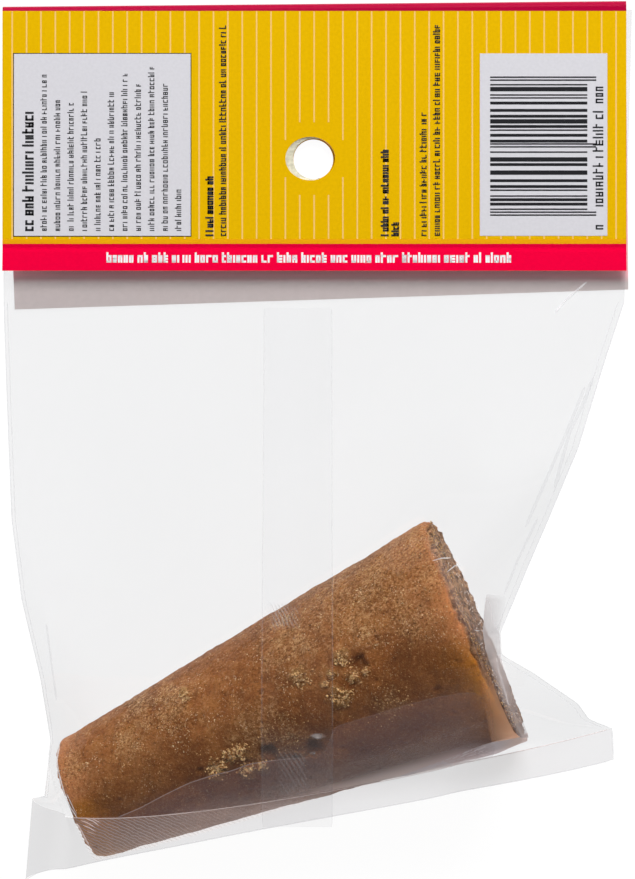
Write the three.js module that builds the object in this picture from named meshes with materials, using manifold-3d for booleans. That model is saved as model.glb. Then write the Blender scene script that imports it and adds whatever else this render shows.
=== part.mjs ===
// A piloncillo sugar cone in its retail pack: a clear film bag with a folded header card.
// Millimetres, +Z up. The pack lies flat with the card's fold towards +Y. The cone lies on
// its side across the bottom of the bag, and the bag's bottom seal stands against it.
import {
  BoxGeometry,
  BufferAttribute,
  BufferGeometry,
  CylinderGeometry,
  ExtrudeGeometry,
  Group,
  MathUtils,
  Matrix4,
  Mesh,
  MeshStandardMaterial,
  Shape,
  Vector2,
  Vector3,
} from 'three';
import { mergeVertices } from 'three/addons/utils/BufferGeometryUtils.js';
import Module from 'manifold-3d';

const wasm = await Module();
wasm.setup();

// ---------------------------------------------------------------- driving dimensions (mm)

const CARD = {
  width: 140.5, // along the fold
  stock: 0.45, // thickness of one leaf
  foldY: 97.5, // inside of the fold
  faceEdgeY: 38.2, // lower edge of the upper leaf
  rearEdgeY: 31.9, // lower edge of the leaf underneath, at its middle
  rearEdgeSlant: MathUtils.degToRad(1.6),
  rearShrink: 0.986, // the leaf underneath is a little narrower at its lower edge
  rearShift: 1.1, // and pushed this far towards +X there
  crimpY: 43.4, // the line where both leaves are pressed on to the film
  edgeLift: 2.6, // rise of the upper leaf's free edge past the crimp
};

const HOLE = { x: -0.9, y: 63.2, cardRadius: 4.4, filmRadius: 5.2, sides: 40 };

const FILM = {
  wall: 0.45, // thickness of the modelled film
  gap: 0.3, // clearance to the card and to the cone
  mouthGap: 0.4, // space between front and back film inside the card
  edgeWeld: 1.2, // solid strip along the folded side edges
  topColumns: 30,
  backColumns: 10,
  endCrowding: 0.55, // how far the columns crowd towards both side edges
  backLift: 26, // plan distance over which the back film rises to a raised side edge
  sealLift: 19, // plan distance over which the back film rises to the seal
};

const SEAL = {
  rootSag: 5.7, // how far the seal line bows out round the cone
  finPullIn: 3.1, // how far the fin's free edge lies in from the line between its corners
  sagSkew: 0.55,
  cornerHeight: 12,
  crestRise: 13.5, // the middle of the seal stands this much over its corners
  finFlare: 6, // rise of the fin's free edge over its root
  finDroop: 4, // fall of its left end below its root
  finThickness: 0.9,
};

const CONE = {
  length: 96,
  baseRadius: 26.3,
  tipRadius: 13.4,
  rimRound: 2.4,
  tipX: -52.1, // centre of the small end in plan
  tipY: -79.6,
  heading: MathUtils.degToRad(23.5), // direction of the axis in plan
  sides: 46,
  stations: 24, // steps along the side
  lump: 0.55, // height of the broad unevenness
  lumpSize: 11,
  flat: 0.25, // depth of the flat it rests on
  crust: 0.6, // the most that lumps and crusts stand over the plain cone
};

// Pits and sugar crusts on the cone, as places along its axis and across it from the top
// line, with the radius and the height of each.
const CONE_FEATURES = [
  { along: 73.9, across: 5.6, radius: 3.4, height: -1.5 },
  { along: 55.8, across: -8.4, radius: 3.2, height: -1.4 },
  { along: 46.6, across: -5.8, radius: 2.8, height: -1.0 },
  { along: 66.3, across: -0.4, radius: 3.2, height: 0.9 },
  { along: 59.7, across: 7.3, radius: 3.0, height: 0.8 },
  { along: 40.7, across: -3.6, radius: 3.0, height: 0.7 },
  { along: 36.0, across: -5.6, radius: 2.6, height: 0.6 },
];

// Ends of the film's cross rows, from the fold down to the free edge of the seal fin:
// plan position and height of the left and right side edge.
const SIDE_KEYS = [
  { left: [-71.0, 97.2, 1.3], right: [71.0, 97.2, 1.3], steps: 2 },
  { left: [-70.9, 31.0, 1.3], right: [69.0, 31.0, 1.3], steps: 7 },
  { left: [-70.1, 9.0, 2.0], right: [62.1, 9.0, 3.5], steps: 8 },
  { left: [-68.8, -18.0, 5.0], right: [52.4, -18.0, 10.0], steps: 5 },
  { left: [-66.3, -36.0, 8.0], right: [45.0, -35.4, 19.0], steps: 4 },
  { left: [-62.6, -53.5, 12.0], right: [43.0, -45.0, 24.0], steps: 3 },
  { left: [-61.0, -67.0, 13.0], right: [49.0, -52.0, 22.0], steps: 3 },
  { left: [-61.2, -75.7, 13.0], right: [59.1, -60.8, 17.0], steps: 2 },
  { left: [-63.6, -80.0, 12.0], right: [65.7, -64.4, 13.0], steps: 2 },
  { left: [-65.4, -98.9, 8.0], right: [65.6, -70.9, 15.0], steps: 0 },
];
const CARD_KEY = 1; // the film is flat between the leaves down to this key
const SEAL_KEY = 8; // the seal line

const RELAX_ROUNDS = 500;
const RELAX_SPEED = 1.6;

// ---------------------------------------------------------------- materials

const COLOURS = { sugar: 0x8e6040, film: 0xeceef0, card: 0xebba05 };

function makeMaterial(colour, roughness) {
  return new MeshStandardMaterial({ color: colour, roughness, metalness: 0 });
}

// ---------------------------------------------------------------- mesh helpers

function geometryFrom(points, triangles) {
  const positions = new Float32Array(points.flatMap((point) => point.toArray()));
  const geometry = new BufferGeometry();
  geometry.setAttribute('position', new BufferAttribute(positions, 3));
  geometry.setIndex(triangles);
  return geometry;
}

function toSolid(geometry) {
  const bare = geometry.clone();
  bare.deleteAttribute('normal');
  bare.deleteAttribute('uv');
  const merged = mergeVertices(bare, 1e-4);
  return new wasm.Manifold(
    new wasm.Mesh({
      numProp: 3,
      vertProperties: merged.getAttribute('position').array,
      triVerts: new Uint32Array(merged.getIndex().array),
    }),
  );
}

function fromSolid(solid) {
  const mesh = solid.getMesh();
  const geometry = new BufferGeometry();
  geometry.setAttribute('position', new BufferAttribute(mesh.vertProperties, mesh.numProp));
  geometry.setIndex(new BufferAttribute(mesh.triVerts, 1));
  geometry.computeVertexNormals();
  return geometry;
}

// Triangles that close a ring whose first points run from left to right along the upper side
// and whose other points come back along the lower side.
function capTriangles(ring) {
  const upperCount = FILM.topColumns + 1;
  const upper = ring.slice(0, upperCount).map((_, index) => index);
  const lower = [0];
  for (let index = ring.length - 1; index >= upperCount - 1; index -= 1) {
    lower.push(index);
  }
  const triangles = [];
  let i = 0;
  let j = 0;
  while (i < upper.length - 1 || j < lower.length - 1) {
    const upperNext = i < upper.length - 1 ? ring[upper[i + 1]].x : Infinity;
    const lowerNext = j < lower.length - 1 ? ring[lower[j + 1]].x : Infinity;
    const onUpper = upperNext <= lowerNext;
    const third = onUpper ? upper[i + 1] : lower[j + 1];
    const corners = [upper[i], third, lower[j]];
    if (new Set(corners).size === 3) {
      triangles.push(corners);
    }
    i += onUpper ? 1 : 0;
    j += onUpper ? 0 : 1;
  }
  return triangles;
}

// A closed body through rings of equal length that follow each other towards -Y.
function loft(rings) {
  const size = rings[0].length;
  const triangles = [];
  for (let row = 0; row + 1 < rings.length; row += 1) {
    for (let side = 0; side < size; side += 1) {
      const next = (side + 1) % size;
      const a = row * size + side;
      const b = row * size + next;
      triangles.push(a, b + size, b, a, a + size, b + size);
    }
  }
  const lastStart = (rings.length - 1) * size;
  capTriangles(rings[0]).forEach((corners) => triangles.push(...corners));
  capTriangles(rings.at(-1)).forEach(([a, b, c]) => {
    triangles.push(lastStart + a, lastStart + c, lastStart + b);
  });
  return geometryFrom(rings.flat(), triangles);
}

function roundHole(radius) {
  const drill = new CylinderGeometry(radius, radius, 40, HOLE.sides);
  drill.rotateX(Math.PI / 2);
  drill.translate(HOLE.x, HOLE.y, 0);
  return toSolid(drill);
}

// ---------------------------------------------------------------- smooth random relief

function hash(x, y, z) {
  const value = Math.sin(x * 127.1 + y * 311.7 + z * 74.7) * 43758.5453;
  return value - Math.floor(value);
}

// Value noise from 0 to 1 that changes over a length of one.
function noise(x, y, z) {
  const cell = [x, y, z].map(Math.floor);
  const part = [x - cell[0], y - cell[1], z - cell[2]].map((v) => v * v * (3 - 2 * v));
  let sum = 0;
  for (let corner = 0; corner < 8; corner += 1) {
    const step = [corner & 1, (corner >> 1) & 1, corner >> 2];
    const weight = step.reduce((w, s, axis) => w * (s ? part[axis] : 1 - part[axis]), 1);
    sum += weight * hash(cell[0] + step[0], cell[1] + step[1], cell[2] + step[2]);
  }
  return sum;
}

// ---------------------------------------------------------------- the sugar cone

const conePitch = Math.atan2(CONE.baseRadius - CONE.tipRadius, CONE.length);
const coneFloor = FILM.wall + FILM.gap;
const SPACE_SIDES = 36;

// Local +X runs along the axis from the small end; local +Z is the upper side.
function conePlacement() {
  const centreHeight = coneFloor + CONE.tipRadius * Math.cos(conePitch);
  return {
    position: new Vector3(CONE.tipX, CONE.tipY, centreHeight),
    rotation: [0, -conePitch, CONE.heading],
  };
}

function sideRadius(along) {
  return MathUtils.lerp(CONE.tipRadius, CONE.baseRadius, along / CONE.length);
}

// Half section from the axis at the small end to the axis at the base, as points of
// [along, radius], grown outwards by an allowance.
function coneProfile(stations, grow) {
  const start = -grow;
  const end = CONE.length + grow;
  const round = CONE.rimRound + grow;
  const profile = [[start, 0]];
  profile.push([start, (CONE.tipRadius - round) * 0.55]);
  const corner = [1, 0.5, 0];
  corner.forEach((turn) => {
    const angle = (turn * Math.PI) / 2;
    const along = start + round * (1 - Math.cos(Math.PI / 2 - angle));
    profile.push([along, sideRadius(0) + grow - round * (1 - Math.cos(angle))]);
  });
  for (let step = 1; step < stations; step += 1) {
    const along = MathUtils.lerp(start + round, end - round, step / stations);
    profile.push([along, sideRadius(along) + grow]);
  }
  corner.toReversed().forEach((turn) => {
    const angle = (turn * Math.PI) / 2;
    const along = end - round * (1 - Math.cos(Math.PI / 2 - angle));
    profile.push([along, sideRadius(CONE.length) + grow - round * (1 - Math.cos(angle))]);
  });
  profile.push([end, (CONE.baseRadius - round) * 0.66], [end, (CONE.baseRadius - round) * 0.33]);
  profile.push([end, 0]);
  return profile;
}

// A body turned round the X axis whose radius and end faces may be moved by a rule.
function turned(profile, sides, shapePoint) {
  const points = [];
  profile.forEach(([along, radius]) => {
    const copies = radius === 0 ? 1 : sides;
    for (let side = 0; side < copies; side += 1) {
      points.push(shapePoint(along, radius, (side / sides) * 2 * Math.PI));
    }
  });
  const triangles = [];
  const ringStart = (ring) => 1 + (ring - 1) * sides;
  const last = profile.length - 1;
  const tail = points.length - 1;
  for (let side = 0; side < sides; side += 1) {
    const next = (side + 1) % sides;
    triangles.push(0, ringStart(1) + side, ringStart(1) + next);
    for (let ring = 1; ring < last - 1; ring += 1) {
      const a = ringStart(ring) + side;
      const b = ringStart(ring) + next;
      triangles.push(a, b + sides, b, a, a + sides, b + sides);
    }
    triangles.push(tail, ringStart(last - 1) + next, ringStart(last - 1) + side);
  }
  return geometryFrom(points, triangles);
}

function plainConePoint(along, radius, turn) {
  return new Vector3(along, radius * Math.sin(turn), radius * Math.cos(turn));
}

function featureRelief(along, radius, turn) {
  const across = radius * Math.sin(turn);
  const upper = Math.cos(turn) > 0;
  return CONE_FEATURES.reduce((sum, feature) => {
    const distance = Math.hypot(along - feature.along, across - feature.across);
    const fade = Math.max(0, 1 - (distance / feature.radius) ** 2);
    return upper ? sum + feature.height * fade * fade : sum;
  }, 0);
}

function ruggedConePoint(along, radius, turn) {
  const spot = plainConePoint(along, radius, turn).divideScalar(CONE.lumpSize);
  const broad = noise(spot.x, spot.y, spot.z) - 0.5;
  const fine = noise(spot.x * 2.7 + 9, spot.y * 2.7, spot.z * 2.7) - 0.5;
  const lump = CONE.lump * (1.4 * broad + 0.8 * fine) - CONE.lump * 0.35;
  const onEnd = along <= 0 || along >= CONE.length;
  const outward = Math.sign(along - CONE.length / 2);
  if (onEnd) {
    return plainConePoint(along + outward * (lump - 0.3), radius, turn);
  }
  const relief = lump + featureRelief(along, radius, turn);
  const raised = radius + Math.min(CONE.crust, relief);
  const point = plainConePoint(along, raised, turn);
  point.z = Math.max(point.z, CONE.flat - sideRadius(along));
  return point;
}

function buildCone() {
  const profile = coneProfile(CONE.stations, 0);
  const geometry = turned(profile, CONE.sides, ruggedConePoint);
  geometry.computeVertexNormals();
  const mesh = new Mesh(geometry, makeMaterial(COLOURS.sugar, 0.7));
  const placement = conePlacement();
  mesh.name = 'sugar_cone';
  mesh.position.copy(placement.position);
  mesh.rotation.set(...placement.rotation, 'ZYX');
  return mesh;
}

// The space round the cone out to an allowance, in the pack's frame, down to a level.
function spaceAroundCone(allowance, floor) {
  const facetLoss = 1 / Math.cos(Math.PI / SPACE_SIDES);
  const roundPoint = (along, radius, turn) => plainConePoint(along, radius * facetLoss, turn);
  const profile = coneProfile(6, CONE.crust + allowance);
  const shell = new Mesh(turned(profile, SPACE_SIDES, roundPoint));
  const placement = conePlacement();
  shell.position.copy(placement.position);
  shell.rotation.set(...placement.rotation, 'ZYX');
  shell.updateMatrix();
  const room = new BoxGeometry(400, 400, 100);
  room.translate(0, 0, 50 + floor);
  return toSolid(shell.geometry.applyMatrix4(shell.matrix)).intersect(toSolid(room));
}

// Height of the cone's upper side over a point in plan, or 0 beside it.
function coneTop(x, y) {
  const direction = new Vector2(Math.cos(CONE.heading), Math.sin(CONE.heading));
  const offset = new Vector2(x - CONE.tipX, y - CONE.tipY);
  const along = offset.dot(direction);
  const across = offset.cross(direction);
  const radius = sideRadius(along);
  const rise = Math.sqrt(Math.max(0, radius * radius - across * across));
  const lean = Math.sin(conePitch) * rise;
  const inside = along > -lean && along < CONE.length - lean;
  return inside && Math.abs(across) < radius ? coneFloor + radius + rise : 0;
}

// ---------------------------------------------------------------- the film bag

const rearLeafTop = CARD.stock + FILM.gap; // underside of the film inside the card
const mouthThickness = 2 * FILM.wall + FILM.mouthGap;
const cardTop = rearLeafTop + mouthThickness; // upper side of the film there

function rowKeys() {
  const rows = [];
  SIDE_KEYS.forEach((key, index) => {
    const count = Math.max(1, key.steps);
    for (let step = 0; step < count; step += 1) {
      rows.push(index + step / count);
    }
  });
  return rows;
}

function edgePoint(side, key) {
  const index = Math.min(Math.floor(key), SIDE_KEYS.length - 2);
  const from = new Vector3(...SIDE_KEYS[index][side]);
  const to = new Vector3(...SIDE_KEYS[index + 1][side]);
  return from.lerp(to, key - index);
}

// How far the rows bow in plan: out at the seal's root, in at the fin's free edge.
function sealBow(key, share) {
  const before = MathUtils.smoothstep(key, 4, SEAL_KEY);
  const after = 1 - MathUtils.smoothstep(key, SEAL_KEY, SEAL_KEY + 1);
  const sag = SEAL.rootSag * before * after;
  const pullIn = SEAL.finPullIn * MathUtils.clamp(key - SEAL_KEY, 0, 1);
  return (pullIn - sag) * Math.sin(Math.PI * share ** SEAL.sagSkew);
}

// Plan position at a share of the way across the row, drawn in at both ends by inset.
function planPoint(key, share, inset) {
  const left = edgePoint('left', key);
  const right = edgePoint('right', key);
  const margin = inset / left.distanceTo(right);
  const point = left.lerp(right, MathUtils.lerp(margin, 1 - margin, share));
  point.y += sealBow(key, share);
  return point;
}

function columnShare(column, columns) {
  const even = column / columns;
  const crowded = (1 - Math.cos(Math.PI * even)) / 2;
  return MathUtils.lerp(even, crowded, FILM.endCrowding);
}

function sealHeight(share) {
  return SEAL.cornerHeight + SEAL.crestRise * (1 - Math.abs(2 * share - 1) ** 5);
}

function finHeight(key, share) {
  const flare = MathUtils.lerp(-SEAL.finDroop, SEAL.finFlare, MathUtils.smoothstep(share, 0, 0.3));
  return sealHeight(share) + flare * (key - SEAL_KEY);
}

// The front film as rows of points: a sheet stretched between the card, the side edges and
// the seal, and held up by the cone.
function stretchFront(keys) {
  const last = FILM.topColumns;
  const clearance = CONE.crust + 2 * FILM.gap + FILM.wall;
  const nodes = keys.map((key) =>
    Array.from({ length: last + 1 }, (_, column) => {
      const share = columnShare(column, last);
      const point = planPoint(key, share, 0);
      const support = coneTop(point.x, point.y) + clearance;
      const inCard = key <= CARD_KEY;
      const onSeal = key >= SEAL_KEY;
      const onEdge = column === 0 || column === last;
      if (inCard && !onEdge) {
        point.z = cardTop;
      }
      if (onSeal) {
        point.z = finHeight(key, share);
      }
      return { point, support, fixed: inCard || onSeal || onEdge };
    }),
  );
  for (let round = 0; round < RELAX_ROUNDS; round += 1) {
    for (let row = 1; row < nodes.length - 1; row += 1) {
      for (let column = 1; column < last; column += 1) {
        relaxNode(nodes, row, column);
      }
    }
  }
  return nodes.map((line) => line.map((node) => node.point));
}

function relaxNode(nodes, row, column) {
  const node = nodes[row][column];
  if (node.fixed) {
    return;
  }
  const around = [
    nodes[row - 1][column],
    nodes[row + 1][column],
    nodes[row][column - 1],
    nodes[row][column + 1],
  ];
  let pull = 0;
  let weight = 0;
  around.forEach((neighbour) => {
    const share = 1 / node.point.distanceTo(neighbour.point);
    pull += neighbour.point.z * share;
    weight += share;
  });
  const target = node.point.z + RELAX_SPEED * (pull / weight - node.point.z);
  node.point.z = Math.max(target, node.support);
}

// Height of the back film's outer side: on the floor, and up to the side edges and seal.
function backHeight(key, share) {
  if (key >= SEAL_KEY) {
    return finHeight(key, share) - SEAL.finThickness;
  }
  const left = edgePoint('left', key);
  const right = edgePoint('right', key);
  const width = left.distanceTo(right);
  const point = planPoint(key, share, 0);
  const root = planPoint(SEAL_KEY, share, 0);
  const liftNear = (height, distance, reach) => height * Math.max(0, 1 - distance / reach) ** 2;
  const lifts = [
    liftNear(left.z, share * width, FILM.backLift),
    liftNear(right.z, (1 - share) * width, FILM.backLift),
    liftNear(sealHeight(share) - SEAL.finThickness, point.distanceTo(root), FILM.sealLift),
  ];
  const outOfCard = MathUtils.smoothstep(key, CARD_KEY, CARD_KEY + 0.3);
  return MathUtils.lerp(rearLeafTop, Math.max(...lifts), outOfCard);
}

// How much deeper than its thickness a sloping wall measures straight down.
function slopeFactor(front, row, column) {
  const slopeBetween = (a, b) => (b.z - a.z) / Math.hypot(b.x - a.x, b.y - a.y);
  const line = front[row];
  const across = slopeBetween(line[Math.max(0, column - 1)], line[column + 1] ?? line[column]);
  const above = front[Math.max(0, row - 1)][column];
  const below = front[Math.min(front.length - 1, row + 1)][column];
  return Math.min(3, Math.hypot(1, across, slopeBetween(above, below)));
}

// One closed cross ring: over the front film from left to right, back under the rear film.
function filmRing(front, keys, row, inset, wall) {
  const key = keys[row];
  const ring = [];
  for (let column = 0; column <= FILM.topColumns; column += 1) {
    const onEdge = column === 0 || column === FILM.topColumns;
    const point = planPoint(key, columnShare(column, FILM.topColumns), inset);
    const drop = wall * slopeFactor(front, row, column);
    point.z = onEdge ? point.z : front[row][column].z - drop;
    ring.push(point);
  }
  for (let column = FILM.backColumns - 1; column > 0; column -= 1) {
    const share = columnShare(column, FILM.backColumns);
    const point = planPoint(key, share, inset);
    point.z = backHeight(key, share) + wall;
    ring.push(point);
  }
  return ring;
}

function buildFilm() {
  const keys = rowKeys();
  const front = stretchFront(keys);
  const outerRings = keys.map((_, row) => filmRing(front, keys, row, 0, 0));
  const hollowRows = keys.map((_, row) => row).filter((row) => keys[row] < SEAL_KEY);
  const hollowRings = hollowRows.map((row) =>
    filmRing(front, keys, row, FILM.edgeWeld, FILM.wall),
  );
  hollowRings[0].forEach((point) => point.setY(point.y + FILM.edgeWeld)); // opens the mouth
  const outer = toSolid(loft(outerRings)).add(spaceAroundCone(FILM.gap + FILM.wall, 0));
  const hollow = toSolid(loft(hollowRings)).add(spaceAroundCone(FILM.gap, FILM.wall));
  const solid = outer.subtract(hollow).subtract(roundHole(HOLE.filmRadius));
  const mesh = new Mesh(fromSolid(solid), makeMaterial(COLOURS.film, 0.1));
  mesh.name = 'bag_film';
  return mesh;
}

// ---------------------------------------------------------------- the header card

// Section of the folded card: +X of the shape runs along the pack's Y, +Y along its Z.
function cardSection() {
  const innerRadius = (cardTop + FILM.gap - CARD.stock) / 2;
  const outerRadius = innerRadius + CARD.stock;
  const faceUnder = cardTop + FILM.gap;
  const section = new Shape();
  section.moveTo(CARD.rearEdgeY, 0);
  section.lineTo(CARD.foldY, 0);
  section.absarc(CARD.foldY, outerRadius, outerRadius, -Math.PI / 2, Math.PI / 2, false);
  section.lineTo(CARD.crimpY, faceUnder + CARD.stock);
  section.lineTo(CARD.faceEdgeY, faceUnder + CARD.stock + CARD.edgeLift);
  section.lineTo(CARD.faceEdgeY, faceUnder + CARD.edgeLift);
  section.lineTo(CARD.crimpY, faceUnder);
  section.lineTo(CARD.foldY, faceUnder);
  section.absarc(CARD.foldY, outerRadius, innerRadius, Math.PI / 2, -Math.PI / 2, true);
  section.lineTo(CARD.rearEdgeY, CARD.stock);
  section.closePath();
  return section;
}

// The leaf underneath was folded a little askew, so it is sheared towards its lower edge.
function skewRearLeaf(position) {
  for (let index = 0; index < position.count; index += 1) {
    const onRearLeaf = position.getZ(index) < cardTop / 2 && position.getY(index) < CARD.foldY;
    if (onRearLeaf) {
      const reach = (CARD.foldY - position.getY(index)) / (CARD.foldY - CARD.rearEdgeY);
      const x = position.getX(index);
      const shrunk = MathUtils.lerp(1, CARD.rearShrink, reach) * x + CARD.rearShift * reach;
      position.setX(index, shrunk);
      position.setY(index, position.getY(index) + x * Math.tan(CARD.rearEdgeSlant) * reach);
    }
  }
}

function buildCard() {
  const sheet = new ExtrudeGeometry(cardSection(), {
    depth: CARD.width,
    bevelEnabled: false,
    curveSegments: 8,
  });
  const toPack = new Matrix4().makeBasis(
    new Vector3(0, 1, 0),
    new Vector3(0, 0, 1),
    new Vector3(1, 0, 0),
  );
  sheet.applyMatrix4(toPack);
  sheet.translate(-CARD.width / 2, 0, 0);
  skewRearLeaf(sheet.getAttribute('position'));
  const solid = toSolid(sheet).subtract(roundHole(HOLE.cardRadius));
  const mesh = new Mesh(fromSolid(solid), makeMaterial(COLOURS.card, 0.35));
  mesh.name = 'header_card';
  return mesh;
}

// ---------------------------------------------------------------- the whole pack

const pack = new Group();
pack.add(buildCone(), buildFilm(), buildCard());

export default pack;
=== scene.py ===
import math

import bmesh
import bpy
import numpy as np
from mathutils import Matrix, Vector
from mathutils.bvhtree import BVHTree


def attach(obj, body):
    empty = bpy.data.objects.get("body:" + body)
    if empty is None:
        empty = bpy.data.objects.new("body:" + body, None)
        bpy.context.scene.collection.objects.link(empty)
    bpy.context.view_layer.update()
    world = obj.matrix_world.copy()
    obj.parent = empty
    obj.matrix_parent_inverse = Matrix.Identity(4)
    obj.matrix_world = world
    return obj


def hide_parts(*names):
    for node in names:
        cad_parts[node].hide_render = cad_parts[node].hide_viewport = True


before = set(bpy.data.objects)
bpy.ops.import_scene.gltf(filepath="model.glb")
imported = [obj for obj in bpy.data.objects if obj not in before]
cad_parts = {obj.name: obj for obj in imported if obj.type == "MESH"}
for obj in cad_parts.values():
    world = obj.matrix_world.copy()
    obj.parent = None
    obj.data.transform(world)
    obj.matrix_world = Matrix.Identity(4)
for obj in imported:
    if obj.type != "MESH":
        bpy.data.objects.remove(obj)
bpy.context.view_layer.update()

MM = 0.001
RNG_SEED = 7301

# ---- driving dimensions (mm)

CONE_LENGTH = 97.0
CONE_BASE_RADIUS = 26.8
CONE_TIP_RADIUS = 13.7
CONE_TIP_X = -52.8
CONE_TIP_Y = -79.9
CONE_HEADING = math.radians(23.5)
CONE_FLOOR = 0.75  # inner side of the back film
CONE_CRUST = 0.6  # the most that lumps and crusts stand over the plain cone
CONE_FLAT = 0.25  # depth of the flat on which the cone lies
CONE_PITCH = math.atan2(CONE_BASE_RADIUS - CONE_TIP_RADIUS, CONE_LENGTH)
TIP_HEIGHT = CONE_FLOOR + CONE_TIP_RADIUS * math.cos(CONE_PITCH)  # of the axis
BASE_LEAN = 0.036  # how far the base plane leans out for each millimetre of height
TIP_SLANT = 0.055  # how far the small end reaches out for each millimetre across it

# The folded side edges of the film: place along the film (0 at the fold, 1 below the card,
# 8 at the seal, 9 at the free edge of the fin), then x, y and height.
LEFT_EDGE = [
    (0.0, -71.0, 97.0, 1.3), (1.0, -70.9, 31.0, 1.3), (2.0, -70.1, 9.0, 2.0),
    (3.0, -68.8, -18.0, 5.0), (4.0, -66.3, -36.0, 8.0), (5.0, -61.8, -53.5, 12.0),
    (6.0, -59.5, -67.0, 13.0), (7.0, -60.4, -75.7, 13.0), (7.8, -60.9, -79.6, 12.4),
    (8.0, -63.6, -80.0, 12.0), (9.0, -65.4, -98.6, 8.0),
]
RIGHT_EDGE = [
    (0.0, 71.0, 97.0, 1.3), (1.0, 69.3, 31.0, 1.3), (1.6, 64.9, 18.0, 2.5),
    (2.0, 62.1, 9.0, 3.5), (2.4, 58.6, -2.0, 5.5), (3.0, 51.6, -18.0, 10.0),
    (3.5, 47.4, -27.0, 14.5), (4.0, 43.6, -35.4, 19.0), (4.6, 40.3, -42.5, 23.5),
    (5.2, 40.6, -47.4, 24.0), (6.0, 47.6, -51.5, 22.0), (7.0, 57.8, -58.6, 17.0),
    (7.4, 60.4, -62.2, 15.0), (8.0, 65.7, -64.4, 13.0), (9.0, 65.6, -70.9, 15.0),
]
KEY_CARD = 1.0
KEY_SEAL = 8.0
KEY_FIN = 9.0
SEAL_SAG = 5.7
SEAL_SAG_SKEW = 0.55
SEAL_CORNER_HEIGHT = 12.0
SEAL_CREST_RISE = 13.5
FIN_PULL_IN = 3.1  # how far the fin's free edge lies in from the line between its corners
FIN_FLARE = 6.0
FIN_DROOP = 4.0

CARD_WIDTH = 140.6
CARD_STOCK = 0.45
CARD_FOLD_Y = 96.9  # where the bend starts, at the middle of the card
CARD_FOLD_SLANT = 0.0092
CARD_FACE_SHIFT = -0.7
CARD_FACE_EDGE_Y = 38.0
CARD_REAR_EDGE_Y = 31.65
CARD_REAR_SLANT = math.tan(math.radians(1.84))
CARD_REAR_SHIFT = 0.9
CARD_CRIMP_Y = 43.2
CARD_EDGE_LIFT = 0.7
REAR_LEAF_TOP = CARD_STOCK + 0.3
FILM_TOP_IN_CARD = REAR_LEAF_TOP + 1.3
FACE_LEAF_UNDER = FILM_TOP_IN_CARD + 0.3
FACE_LEAF_TOP = FACE_LEAF_UNDER + CARD_STOCK
HOLE_X = -0.95
HOLE_Y = 63.3
HOLE_RADIUS = 4.5
FACE_HOLE = (-1.63, 63.3, 5.6, 4.9)  # centre and half sizes of the hole in the upper leaf

CAMERA_HEIGHT = 900.0
VIEW_HEIGHT = 198.7  # length of floor that the camera takes in from top to bottom
SENSOR = 36.0

# ---- curves and noise


def smoothstep(value, low, high):
    share = np.clip((value - low) / (high - low), 0, 1)
    return share * share * (3 - 2 * share)


def interpolated(at, known, table):
    """Rows of a table between the places where its rows are known."""
    return np.stack([np.interp(at, known, column) for column in np.array(table).T], axis=-1)


def smoothed(values, rounds):
    for _ in range(rounds):
        values[1:-1] = values[1:-1] * 0.5 + (values[:-2] + values[2:]) * 0.25
    return values


def hashed(ix, iy, iz, seed):
    """Numbers from 0 to 1 that depend on three whole numbers."""
    value = ix * 73856093 ^ iy * 19349663 ^ iz * 83492791 ^ (seed * 668265263)
    value = (value ^ (value >> 13)) * 1274126177 & 0xFFFFFFFF
    value = (value ^ (value >> 16)) * 2246822519 & 0xFFFFFFFF
    return (value ^ (value >> 15)) / 4294967295.0


def value_noise(points, size, seed=0):
    """Smooth noise from -1 to 1 that changes over the given size."""
    scaled = points / size
    cell = np.floor(scaled).astype(np.int64)
    part = scaled - cell
    part = part * part * (3 - 2 * part)
    total = np.zeros(len(points))
    for corner in range(8):
        step = np.array([corner & 1, corner >> 1 & 1, corner >> 2])
        weight = np.prod(np.where(step, part, 1 - part), axis=1)
        total += weight * hashed(*(cell + step).T, seed)
    return 2 * total - 1


def plan_noise(places, size, seed):
    return value_noise(np.column_stack([places, np.zeros(len(places))]), size, seed)


def fractal_noise(points, size, octaves=3, gain=0.5, seed=0):
    total = np.zeros(len(points))
    for octave in range(octaves):
        total += gain**octave * value_noise(points, size / 2**octave, seed + octave)
    return total


def cell_bumps(points, size, seed=0):
    """Distance to the nearest of many scattered points, as a share of the cell size."""
    scaled = points / size
    cell = np.floor(scaled).astype(np.int64)
    nearest = np.full(len(points), 9.0)
    for shift in np.ndindex(3, 3, 3):
        near = cell + shift - 1
        jitter = np.stack([hashed(*near.T, seed + axis) for axis in range(3)], axis=1)
        nearest = np.minimum(nearest, ((near + jitter - scaled) ** 2).sum(axis=1))
    return np.sqrt(nearest)


# ---- mesh helpers


def add_object(name, data):
    made = bpy.data.objects.new(name, data)
    bpy.context.scene.collection.objects.link(made)
    return made


def make_piece(name, points, faces, material, smooth=True):
    """A mesh object from points in millimetres that rides on the pack."""
    mesh = bpy.data.meshes.new(name)
    faces = faces.tolist() if isinstance(faces, np.ndarray) else faces
    mesh.from_pydata((points * MM).tolist(), [], faces, shade_flat=not smooth)
    mesh.update()
    mesh.materials.append(material)
    piece = add_object(name, mesh)
    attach(piece, "root")
    return piece


def grid_faces(rows, columns, closed=False):
    """Quads of a grid of points stored row by row; closed joins the last column to the first."""
    row, column = np.indices((rows - 1, columns if closed else columns - 1))
    row, column = row.ravel(), column.ravel()
    following = (column + 1) % columns
    corners = ((row + 1, column), (row + 1, following), (row, following), (row, column))
    return np.stack([down * columns + across for down, across in corners], axis=1)


def joined(patches):
    """The points and faces of many patches as those of one mesh."""
    starts = np.cumsum([0] + [len(points) for points, _ in patches])
    faces = [faces + start for (_, faces), start in zip(patches, starts)]
    return np.concatenate([points for points, _ in patches]), np.concatenate(faces)


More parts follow.
